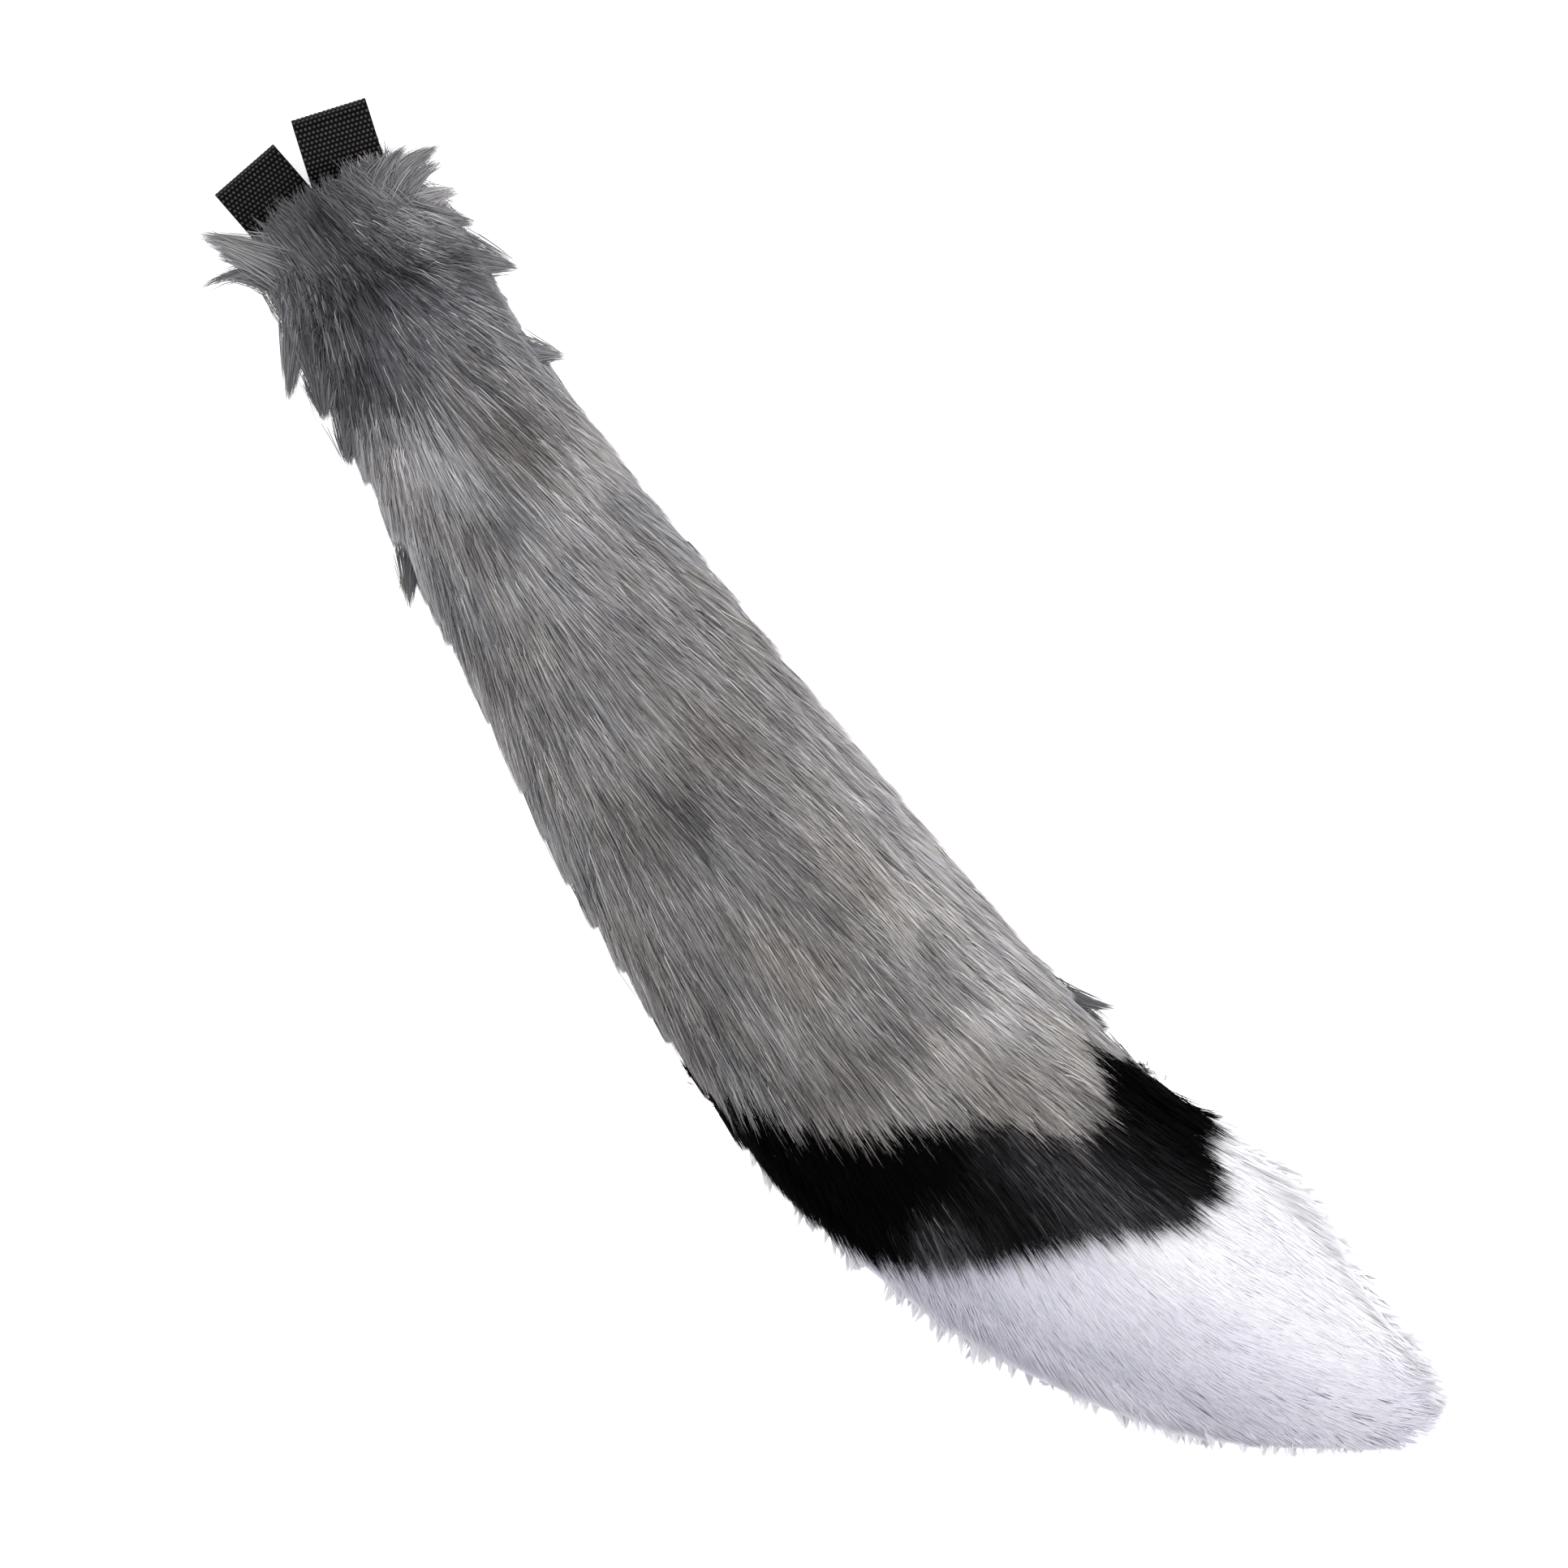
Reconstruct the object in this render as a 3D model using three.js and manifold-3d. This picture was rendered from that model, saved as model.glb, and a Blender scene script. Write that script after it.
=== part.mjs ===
// Costume animal tail: a stuffed tube of long faux fur in three colours, bowed to one side, with two
// loops of folded webbing sewn into its flat upper end. It lies on its flattened underside, loops
// toward +Y and tip toward -Y, with the origin at the bottom centre of its box.
import * as THREE from "three";
import { mergeVertices } from "three/addons/utils/BufferGeometryUtils.js";
import Module from "manifold-3d";

const wasm = await Module();
wasm.setup();

// Driving dimensions in millimetres and degrees
const bodyLength = 526;
const bodyWidth = 107;
const bodyHeight = 68;
const sideBow = 40;
const lockLength = 42;
const lockWidth = 20;
const lockThickness = 4.2;
const lockLift = 5;
const rootDepth = 2.4;
const rowSpacing = 30;
const seamOverhang = 19;
const webbingWidth = 25.4;
const webbingThickness = 1.6;
const eyeLength = 40;
const eyeHeight = 8;
const eyePinch = 14;
const sewnDepth = 12;
const loopTurn = 23.7;
const loopSpacing = 17;
const loopInset = 8.5;
const loopPitch = 3;
const clearance = 0.3;

// The stuffed tube by sections, from the flat upper end (0) to the tip (1): how far its middle swings
// aside in shares of sideBow, its width in shares of bodyWidth, its height and the height of its
// underside above the surface in shares of bodyHeight.
const sections = [
  { along: 0.0, sway: 0.0, width: 0.5, height: 0.3, under: 0.07 },
  { along: 0.04, sway: 0.04, width: 0.6, height: 0.52, under: 0.02 },
  { along: 0.09, sway: 0.1, width: 0.62, height: 0.72, under: 0.0 },
  { along: 0.16, sway: 0.34, width: 0.62, height: 0.83, under: 0.0 },
  { along: 0.25, sway: 0.53, width: 0.69, height: 0.88, under: 0.0 },
  { along: 0.32, sway: 0.66, width: 0.77, height: 0.92, under: 0.0 },
  { along: 0.4, sway: 0.81, width: 0.87, height: 0.96, under: 0.0 },
  { along: 0.48, sway: 0.91, width: 0.94, height: 0.99, under: 0.0 },
  { along: 0.56, sway: 0.98, width: 0.98, height: 1.0, under: 0.0 },
  { along: 0.64, sway: 0.97, width: 1.02, height: 1.0, under: 0.0 },
  { along: 0.7, sway: 0.91, width: 1.02, height: 0.99, under: 0.0 },
  { along: 0.76, sway: 0.77, width: 1.0, height: 0.97, under: 0.0 },
  { along: 0.82, sway: 0.54, width: 0.98, height: 0.92, under: 0.0 },
  { along: 0.87, sway: 0.39, width: 0.87, height: 0.84, under: 0.0 },
  { along: 0.91, sway: 0.27, width: 0.72, height: 0.73, under: 0.0 },
  { along: 0.945, sway: 0.11, width: 0.57, height: 0.58, under: 0.02 },
  { along: 0.97, sway: -0.03, width: 0.43, height: 0.43, under: 0.06 },
  { along: 1.0, sway: -0.15, width: 0.2, height: 0.2, under: 0.14 },
];

// Both seams slant: each is lowest at the front of the V and climbs to its back, in shares of the length.
const seamFront = 65;
const seams = {
  greyToBlack: { low: 0.705, rise: 0.208 },
  blackToWhite: { low: 0.795, rise: 0.183 },
};

// Loose tufts round the upper end: where they grow in shares of the end's half width and of its
// height, how far they turn from +Y toward +X, and their length in shares of lockLength.
const endTufts = [
  { across: -0.95, upward: 0.45, turn: -66, reach: 0.5 },
  { across: -0.9, upward: 0.6, turn: -46, reach: 0.72 },
  { across: -0.65, upward: 0.8, turn: -28, reach: 0.66 },
  { across: -0.3, upward: 0.95, turn: -8, reach: 0.6 },
  { across: 0.0, upward: 1.0, turn: 10, reach: 0.68 },
  { across: 0.35, upward: 0.95, turn: 2, reach: 0.62 },
  { across: 0.65, upward: 0.8, turn: 34, reach: 0.6 },
  { across: 0.9, upward: 0.6, turn: 60, reach: 0.66 },
  { across: 0.95, upward: 0.5, turn: 82, reach: 0.5 },
  { across: 0.9, upward: 0.55, turn: 116, reach: 0.5 },
];

// How the solids are meshed, where round the tube the locks grow and by what shares they differ
const sides = 22;
const ringSpacing = 17;
const pileFrom = -28;
const pileTo = 208;
const tuftAlong = 0.025;
const lockPacking = 0.82;
const placeSpread = 0.3;
const driftSpread = 0.16;
const fanOut = 0.1;
const liftSpread = 0.8;
const rowStagger = 0.2;
const lengthSpread = 0.3;
const bellyShare = 0.42;
const bellyDepth = 0.5;
const rad = THREE.MathUtils.degToRad;

// A value between 0 and 1 that differs from lock to lock and is the same in every run
function vary(row, place, kind) {
  const wave = Math.sin(row * 12.99 + place * 78.23 + kind * 37.72) * 43758.55;
  return wave - Math.floor(wave);
}

// One column of the section table, read smoothly between its rows
function readSection(column, along) {
  const at = THREE.MathUtils.clamp(along, 0, 1);
  const last = sections.length - 1;
  const next = Math.max(1, sections.findIndex((row) => row.along >= at));
  const rows = [next - 2, next - 1, next, next + 1].map((i) => sections[THREE.MathUtils.clamp(i, 0, last)]);
  const span = rows[2].along - rows[1].along;
  const slope = (a, b) => (b[column] - a[column]) / (b.along - a.along);
  const [before, low, high, after] = rows;
  const t = (at - low.along) / span;
  return (
    low[column] * (1 + 2 * t) * (1 - t) ** 2 +
    high[column] * t * t * (3 - 2 * t) +
    slope(before, high) * span * t * (1 - t) ** 2 -
    slope(low, after) * span * t * t * (1 - t)
  );
}

// A point on the tube's skin, or that far off it: angle 0 is its +X side and 90 degrees its top
function skinPoint(along, angle, off = 0) {
  const height = bodyHeight * readSection("height", along);
  const under = bodyHeight * Math.max(0, readSection("under", along));
  const rise = Math.sin(angle) > 0 ? height * (1 - bellyShare) : height * bellyDepth;
  const halfWidth = (bodyWidth / 2) * readSection("width", along) + off;
  const z = under + height * bellyShare + (rise + off) * Math.sin(angle);
  return new THREE.Vector3(
    -sideBow * readSection("sway", along) + halfWidth * Math.cos(angle),
    bodyLength * (0.5 - along),
    Math.max(under - Math.max(off, 0), z),
  );
}

function seamAlong(seam, angle) {
  return seam.low - (seam.rise * (1 - Math.cos(angle - rad(seamFront)))) / 2;
}

// A closed mesh through rings of equal length, with a fan over each end
function closedRings(rings) {
  const count = rings[0].length;
  const points = rings.flat();
  const faces = [];
  for (let r = 0; r + 1 < rings.length; r += 1) {
    for (let i = 0; i < count; i += 1) {
      const a = r * count + i;
      const b = r * count + ((i + 1) % count);
      faces.push(a, b, a + count, b, b + count, a + count);
    }
  }
  for (const r of [0, rings.length - 1]) {
    const middle = new THREE.Vector3();
    rings[r].forEach((point) => middle.addScaledVector(point, 1 / count));
    points.push(middle);
    for (let i = 0; i < count; i += 1) {
      const a = r * count + i;
      const b = r * count + ((i + 1) % count);
      faces.push(points.length - 1, r ? a : b, r ? b : a);
    }
  }
  const geometry = new THREE.BufferGeometry().setFromPoints(points);
  geometry.setIndex(faces);
  return geometry;
}

function toSolid(geometry) {
  const bare = geometry.clone();
  bare.deleteAttribute("normal");
  bare.deleteAttribute("uv");
  const merged = mergeVertices(bare, 1e-4);
  const vertProperties = new Float32Array(merged.attributes.position.array);
  const triVerts = new Uint32Array(merged.index.array);
  return new wasm.Manifold(new wasm.Mesh({ numProp: 3, vertProperties, triVerts }));
}

function toGeometry(solid) {
  const mesh = solid.getMesh();
  const geometry = new THREE.BufferGeometry();
  geometry.setAttribute("position", new THREE.BufferAttribute(mesh.vertProperties, 3));
  geometry.setIndex(new THREE.BufferAttribute(mesh.triVerts, 1));
  geometry.computeVertexNormals();
  return geometry;
}

function joinAll(solids) {
  let level = solids;
  while (level.length > 1) {
    const joined = [];
    for (let i = 0; i < level.length; i += 2) {
      joined.push(level[i + 1] ? level[i].add(level[i + 1]) : level[i]);
    }
    level = joined;
  }
  return level[0];
}

// The padded core of one colour, whose edges and inset are given at each angle
function paddedCore({ top, bottom, inset }) {
  const flank = rad(seamFront + 90);
  const steps = Math.ceil((bodyLength * (bottom(flank) - top(flank))) / ringSpacing);
  const rings = [];
  for (let s = 0; s <= steps; s += 1) {
    const ring = [];
    for (let i = 0; i < sides; i += 1) {
      const angle = (2 * Math.PI * i) / sides;
      const along = THREE.MathUtils.lerp(top(angle), bottom(angle), s / steps);
      ring.push(skinPoint(along, angle, -inset(along, angle)));
    }
    rings.push(ring);
  }
  return toSolid(closedRings(rings));
}

// A lock of pile: a pointed wedge with a ridge, through three places that each hold the ridge's point,
// the base's middle, the direction across and the width there in shares of lockWidth
function wedge(places, grown) {
  const rings = places.map(({ ridge, base, across, wide }) => {
    const half = (lockWidth * wide) / 2 + grown * 2;
    const out = ridge.clone().sub(base).normalize();
    const low = base.clone().addScaledVector(out, -grown);
    return [
      low.clone().addScaledVector(across, -half),
      ridge.clone().addScaledVector(out, grown * 2),
      low.clone().addScaledVector(across, half),
    ].map((point) => point.setZ(Math.max(point.z, 0)));
  });
  return toSolid(closedRings(rings));
}

// A lock that lies along the skin and is rooted in it, its tip drifting round the tube as it rises
function pileLock({ along, angle, drift, length, lift, inset }, grown) {
  const reach = length + grown * 4;
  const places = [
    { share: 0, wide: 0.75, rise: 0.3 * lockThickness },
    { share: 0.5, wide: 1, rise: lockThickness },
    { share: 1, wide: 0.08, rise: lift },
  ].map(({ share, wide, rise }) => {
    const at = along + (share * reach) / bodyLength;
    const turned = angle + drift * share;
    return {
      ridge: skinPoint(at, turned, rise - inset(at, turned)),
      base: skinPoint(at, turned, -rootDepth - inset(at, turned)),
      across: skinPoint(at, turned + 0.05).sub(skinPoint(at, turned - 0.05)).normalize(),
      wide,
    };
  });
  return wedge(places, grown);
}

// Where the locks of one colour grow: staggered rows from just past the locks that hang over its top
// seam, down to a last row whose own tips hang over its bottom seam
function pileRoots({ firstRow, lastRow, inset }, seed) {
  const flank = rad(seamFront + 90);
  const rows = Math.max(1, Math.round((bodyLength * (lastRow(flank) - firstRow(flank))) / rowSpacing));
  const roots = [];
  for (let r = 0; r < rows; r += 1) {
    const share = rows > 1 ? r / (rows - 1) : 1;
    const middle = THREE.MathUtils.lerp(firstRow(flank), lastRow(flank), share);
    const girth = bodyWidth * readSection("width", middle) + bodyHeight * readSection("height", middle);
    const count = Math.round((girth * rad(pileTo - pileFrom)) / (4 * lockWidth * lockPacking));
    const stagger = share > 0 && share < 1 ? (rowStagger * lockLength) / bodyLength : 0;
    for (let i = 0; i < count; i += 1) {
      const shift = (r % 2 ? 0.75 : 0.25) + placeSpread * (vary(r, i, seed) - 0.5);
      const angle = rad(THREE.MathUtils.lerp(pileFrom, pileTo, (i + shift) / count));
      const along = THREE.MathUtils.lerp(firstRow(angle), lastRow(angle), share);
      roots.push({
        along: along - stagger * vary(r, i, seed + 1),
        angle,
        drift: driftSpread * (vary(r, i, seed + 2) - 0.5) + fanOut * Math.max(0, -Math.cos(angle)),
        length: lockLength * (1 + lengthSpread * (vary(r, i, seed + 3) - 0.5)),
        lift: lockLift * (1 + liftSpread * (vary(r, i, seed + 4) - 0.5)),
        inset,
      });
    }
  }
  return roots;
}

function pile(roots, grown = 0) {
  return joinAll(roots.map((root) => pileLock(root, grown)));
}

// A tuft at the upper end, which stands out over the loops instead of lying along the tube
function endTuft({ across, upward, turn, reach }) {
  const under = bodyHeight * readSection("under", tuftAlong);
  const height = bodyHeight * readSection("height", tuftAlong);
  const half = (bodyWidth / 2) * readSection("width", tuftAlong) - rootDepth * 2;
  const heading = new THREE.Vector3(Math.sin(rad(turn)), Math.cos(rad(turn)), 0);
  const sideways = new THREE.Vector3(heading.y, -heading.x, 0);
  const root = new THREE.Vector3(across * half, bodyLength * (0.5 - tuftAlong), under + height * upward);
  root.z -= rootDepth;
  const places = [
    { share: 0, wide: 0.75, rise: 0.3 },
    { share: 0.5, wide: 1, rise: 0.7 },
    { share: 1, wide: 0.08, rise: 0.5 },
  ].map(({ share, wide, rise }) => {
    const base = root.clone().addScaledVector(heading, share * lockLength * reach);
    const ridge = base.clone().setZ(base.z + rise * lockThickness);
    return { ridge, base, across: sideways, wide };
  });
  return wedge(places, 0);
}

// Half the opening of a webbing loop at a distance from its seam: pinched there, open at the fold
function halfOpening(distance) {
  const hairline = webbingThickness * 0.2;
  const share = THREE.MathUtils.smoothstep(distance, eyePinch, eyePinch * 2);
  return THREE.MathUtils.lerp(hairline, eyeHeight / 2, share);
}

// The side view of a folded strip, x away from the seam and y up, grown all round by a margin
function loopOutline(from, margin, target) {
  const bend = eyeLength - eyeHeight / 2;
  const steps = 8;
  const lower = [];
  for (let i = 0; i <= steps; i += 1) {
    const distance = (bend * i) / steps;
    lower.push(new THREE.Vector2(distance, -halfOpening(distance) - margin));
  }
  if (from < 0) lower.unshift(new THREE.Vector2(from, -halfOpening(0) - margin));
  const upper = lower.map((point) => new THREE.Vector2(point.x, -point.y)).reverse();
  target.setFromPoints(lower);
  target.absarc(bend, 0, eyeHeight / 2 + margin, -Math.PI / 2, Math.PI / 2, false);
  upper.slice(1).forEach((point) => target.lineTo(point.x, point.y));
  target.closePath();
  return target;
}

function loopGeometry(width, grown, hollow) {
  const outline = loopOutline(-sewnDepth - grown, webbingThickness + grown, new THREE.Shape());
  if (hollow) outline.holes.push(loopOutline(0, 0, new THREE.Path()));
  const geometry = new THREE.ExtrudeGeometry(outline, {
    depth: width,
    bevelEnabled: false,
    curveSegments: 10,
  });
  geometry.translate(0, 0, -width / 2);
  const toBody = new THREE.Matrix4().makeBasis(
    new THREE.Vector3(0, 1, 0),
    new THREE.Vector3(0, 0, 1),
    new THREE.Vector3(1, 0, 0),
  );
  return geometry.applyMatrix4(toBody);
}

const fur = (color) => new THREE.MeshStandardMaterial({ color, roughness: 0.9, metalness: 0 });
const webbing = new THREE.MeshStandardMaterial({ color: 0x141416, roughness: 0.6, metalness: 0 });
const tail = new THREE.Group();

// The two webbing loops, stacked where they are sewn in, the left one straight and lower
const sewnHeight = bodyHeight * (readSection("under", 0) + readSection("height", 0) / 2);
const tailDrop = sewnDepth * Math.sin(rad(loopPitch));
const stackStep = webbingThickness + halfOpening(0) + clearance / 2 + tailDrop;
const loops = [
  { name: "belt_loop_left", side: -1, turn: 0 },
  { name: "belt_loop_right", side: 1, turn: loopTurn },
].map(({ name, side, turn }) => {
  const seat = new THREE.Group();
  const mesh = new THREE.Mesh(loopGeometry(webbingWidth, 0, true), webbing.clone());
  mesh.name = name;
  mesh.rotation.x = rad(side * loopPitch);
  seat.position.set((side * loopSpacing) / 2, bodyLength / 2 - loopInset, sewnHeight + side * stackStep);
  seat.rotation.z = -rad(turn);
  seat.add(mesh);
  tail.add(seat);
  return mesh;
});
tail.updateMatrixWorld(true);
const loopRoom = loops.map((mesh) =>
  toSolid(loopGeometry(webbingWidth + 2 * clearance, clearance, false).applyMatrix4(mesh.matrixWorld)),
);

// The three colours of fur. Each piece is a padded core with its locks. A core starts inside the piece
// above, inset by one step more, and is cut back to the seam with all that hangs over it.
const greyEnd = (angle) => seamAlong(seams.greyToBlack, angle);
const blackEnd = (angle) => seamAlong(seams.blackToWhite, angle);
const insetStep = rootDepth + clearance * 3;
const seamGap = (clearance * 2) / bodyLength;
const firstReach = (seamOverhang + lockLength * lengthSpread) / bodyLength;
const lastReach = (lockLength - seamOverhang) / bodyLength;
const colours = [
  {
    name: "fur_body_grey",
    color: 0x8b8989,
    top: () => 0,
    bottom: greyEnd,
    firstRow: () => lastReach / 2,
    lastRow: (angle) => greyEnd(angle) - lastReach,
    inset: () => 0,
  },
  {
    name: "fur_band_black",
    color: 0x17161a,
    top: (angle) => greyEnd(angle) - lastReach,
    bottom: blackEnd,
    firstRow: (angle) => greyEnd(angle) + firstReach,
    lastRow: (angle) => blackEnd(angle) - lastReach,
    inset: () => insetStep,
  },
  {
    name: "fur_tip_white",
    color: 0xe4e2ea,
    top: (angle) => blackEnd(angle) - lastReach,
    bottom: () => 1,
    firstRow: (angle) => blackEnd(angle) + firstReach,
    lastRow: () => 1 - lastReach * 1.6,
    inset: (along, angle) => {
      const start = blackEnd(angle) + firstReach;
      return 2 * insetStep * (1 - THREE.MathUtils.smoothstep(along, start, start + firstReach));
    },
  },
];
let hangingOver = null;
colours.forEach((piece, i) => {
  const roots = pileRoots(piece, i * 10);
  const tufts = i ? [] : endTufts.map(endTuft);
  let solid = joinAll([paddedCore(piece), pile(roots), ...tufts]);
  if (hangingOver) solid = solid.subtract(hangingOver);
  if (!i) loopRoom.forEach((room) => (solid = solid.subtract(room)));
  const reach = (2 * lockLength) / bodyLength;
  const nearSeam = roots.filter((root) => piece.bottom(root.angle) - root.along < reach);
  const grownCore = paddedCore({
    top: piece.top,
    bottom: (angle) => piece.bottom(angle) + seamGap,
    inset: (along, angle) => piece.inset(along, angle) - clearance,
  });
  hangingOver = grownCore.add(pile(nearSeam, clearance));
  const mesh = new THREE.Mesh(toGeometry(solid), fur(piece.color));
  mesh.name = piece.name;
  tail.add(mesh);
});

const box = new THREE.Box3().setFromObject(tail);
tail.position.set(-(box.min.x + box.max.x) / 2, -(box.min.y + box.max.y) / 2, -box.min.z);

export default tail;
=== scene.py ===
import math

import bpy
import numpy as np
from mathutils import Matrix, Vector, kdtree


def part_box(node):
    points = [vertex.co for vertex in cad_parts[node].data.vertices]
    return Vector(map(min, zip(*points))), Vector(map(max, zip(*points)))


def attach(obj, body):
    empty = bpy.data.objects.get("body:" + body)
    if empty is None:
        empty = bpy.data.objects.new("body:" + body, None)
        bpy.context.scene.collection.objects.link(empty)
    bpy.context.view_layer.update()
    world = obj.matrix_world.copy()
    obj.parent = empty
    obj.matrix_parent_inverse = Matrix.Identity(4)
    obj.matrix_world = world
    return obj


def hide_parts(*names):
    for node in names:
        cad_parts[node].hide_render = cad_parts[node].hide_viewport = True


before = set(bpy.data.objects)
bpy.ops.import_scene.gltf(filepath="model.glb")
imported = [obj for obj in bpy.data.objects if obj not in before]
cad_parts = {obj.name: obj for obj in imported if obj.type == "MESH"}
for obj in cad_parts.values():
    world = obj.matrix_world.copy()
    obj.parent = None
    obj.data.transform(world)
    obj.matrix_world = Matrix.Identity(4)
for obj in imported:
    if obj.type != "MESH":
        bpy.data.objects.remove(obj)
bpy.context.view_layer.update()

# The camera
# The photograph is taken from straight above, with the tail lying on the slant across the frame: its loops
# at the upper left and its white tip at the lower right.
looks_at = Vector((0.0185, 0.0164, 0.03))
camera_distance = 8.0
view_width = 0.512
camera_data = bpy.data.cameras.new("camera")
camera_data.sensor_width = 36.0
camera_data.lens = camera_data.sensor_width * camera_distance / view_width
camera = bpy.data.objects.new("camera", camera_data)
camera.location = looks_at + Vector((0, 0, camera_distance))
camera.rotation_euler = (0, 0, math.radians(-41.04))
bpy.context.scene.collection.objects.link(camera)
bpy.context.scene.camera = camera
bpy.context.scene.view_settings.view_transform = "Standard"

# The light
# Soft white light from all round, as in a studio tent, with one large lamp on the side that the tail bows
# away from. It makes the right flank the lighter one and leaves the left flank in a mild shade.
world = bpy.data.worlds.new("studio_tent")
world.use_nodes = True
world.node_tree.nodes["Background"].inputs["Color"].default_value = (1.0, 1.0, 1.0, 1.0)
world.node_tree.nodes["Background"].inputs["Strength"].default_value = 0.8
bpy.context.scene.world = world
for lamp_name, lamp_place, lamp_size, lamp_power in (
    ("large_lamp", (0.95, -0.35, 1.25), 0.9, 11.0),
    ("overhead_lamp", (-0.1, 0.25, 1.7), 1.4, 11.0),
):
    lamp_data = bpy.data.lights.new(lamp_name, "AREA")
    lamp_data.size = lamp_size
    lamp_data.energy = lamp_power
    lamp = bpy.data.objects.new(lamp_name, lamp_data)
    lamp.location = lamp_place
    lamp.rotation_euler = (looks_at - Vector(lamp_place)).to_track_quat("-Z", "Y").to_euler()
    bpy.context.scene.collection.objects.link(lamp)


def paint(red, green, blue):
    """A screen colour from 0 to 255, as the light that a surface gives back."""
    light = []
    for screen in (red, green, blue):
        share = screen / 255
        light.append(share / 12.92 if share < 0.0404 else ((share + 0.055) / 1.055) ** 2.4)
    return (*light, 1.0)


def ramp_of(*places):
    """The stops of a ramp, each given as its place and its screen colour."""
    return [(place, paint(*colour)) for place, *colour in places]


class Link:
    """One socket of a material, with which sums are written as in plain arithmetic."""

    def __init__(self, finish, socket):
        self.finish = finish
        self.socket = socket

    def math(self, operation, first, second):
        made = self.finish.node("ShaderNodeMath", {"operation": operation}, {0: first, 1: second})
        return made[0]

    def __add__(self, other):
        return self.math("ADD", self, other)

    def __radd__(self, other):
        return self.math("ADD", other, self)

    def __sub__(self, other):
        return self.math("SUBTRACT", self, other)

    def __rsub__(self, other):
        return self.math("SUBTRACT", other, self)

    def __mul__(self, other):
        return self.math("MULTIPLY", self, other)

    def __rmul__(self, other):
        return self.math("MULTIPLY", other, self)


class Finish:
    """A material that ends in one Principled shader."""

    def __init__(self, name):
        self.material = bpy.data.materials.new(name)
        self.material.use_nodes = True
        self.tree = self.material.node_tree
        self.shader = self.tree.nodes["Principled BSDF"]

    def node(self, kind, settings, sockets):
        made = self.tree.nodes.new(kind)
        for name, value in settings.items():
            if name == "stops":
                ramp = made.color_ramp.elements
                while len(ramp) < len(value):
                    ramp.new(0.5)
                for element, (position, colour) in zip(ramp, value):
                    element.position = position
                    element.color = colour
            else:
                setattr(made, name, value)
        for name, value in sockets.items():
            self.feed(made.inputs[name], value)
        return [Link(self, socket) for socket in made.outputs]

    def noise(self, place, scale, detail):
        return self.node("ShaderNodeTexNoise", {}, {"Vector": place, "Scale": scale, "Detail": detail})[0]

    def ramp(self, stops, factor):
        return self.node("ShaderNodeValToRGB", {"stops": stops}, {"Fac": factor})[0]

    def attribute(self, name):
        return self.node("ShaderNodeAttribute", {"attribute_name": name}, {})[2]

    def feed(self, socket, value):
        if isinstance(value, Link):
            self.tree.links.new(value.socket, socket)
        else:
            socket.default_value = value

    def surface(self, **values):
        for name, value in values.items():
            self.feed(self.shader.inputs[name.replace("_", " ")], value)


def placed(name, mesh, material):
    """An object of this mesh and material, in the scene."""
    mesh.materials.append(material)
    made = bpy.data.objects.new(name, mesh)
    bpy.context.scene.collection.objects.link(made)
    return made


def unit(vectors):
    return vectors / np.linalg.norm(vectors, axis=-1, keepdims=True)


def smooth_mesh(name, points, faces):
    mesh = bpy.data.meshes.new(name)
    mesh.from_pydata(points.tolist(), [], faces)
    mesh.polygons.foreach_set("use_smooth", np.ones(len(faces), bool))
    return mesh


def tell(mesh, name, values):
    """Stores a number at each point of a mesh, for its material to read."""
    stored = mesh.attributes.new(name, "FLOAT", "POINT")
    stored.data.foreach_set("value", np.asarray(values, np.float32).ravel())


def unwrap(mesh, u, v):
    flat = np.stack([u, v], 1).astype(np.float32)
    mesh.uv_layers.new(name="OFBake").uv.foreach_set("vector", flat.ravel())


def walls_of(rings, count):
    """The faces between rings of points, this many points in each."""
    faces = []
    for start in range(0, (rings - 1) * count, count):
        for i in range(count):
            a, b = start + i, start + (i + 1) % count
            faces.append((a, b, b + count, a + count))
    return faces


# The table
# A smooth white table top under the tail, lit so strongly that it shows as plain white.
table_mesh = bpy.data.meshes.new("table")
table_mesh.from_pydata([(-3, -3, 0), (3, -3, 0), (3, 3, 0), (-3, 3, 0)], [], [(0, 1, 2, 3)])
table_finish = Finish("white_table")
table_finish.surface(Base_Color=paint(214, 214, 216), Roughness=0.8, Emission_Strength=0.72)
table_finish.surface(Emission_Color=(1.0, 1.0, 1.0, 1.0))
table = placed("table", table_mesh, table_finish.material)

# The grey backing
# The stuffed tube under the grey pile: knitted backing with a dense undercoat, painted dark grey as the
# shade deep down in the pile, sewn into a tube that is flat on its underside, bows to one side and ends in
# a slanted seam with the black fabric.
body_length = 0.526
body_width = 0.107
body_height = 0.068
side_bow = 0.04
belly_share = 0.42
belly_depth = 0.5
loop_spacing = 0.017
loop_inset = 0.0085
loop_reach = 0.04155
left_loop_low, left_loop_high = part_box("belt_loop_left")
middle_x = (left_loop_low[0] + left_loop_high[0]) / 2 + loop_spacing / 2
middle_y = left_loop_high[1] - loop_reach + loop_inset - body_length / 2
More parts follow.
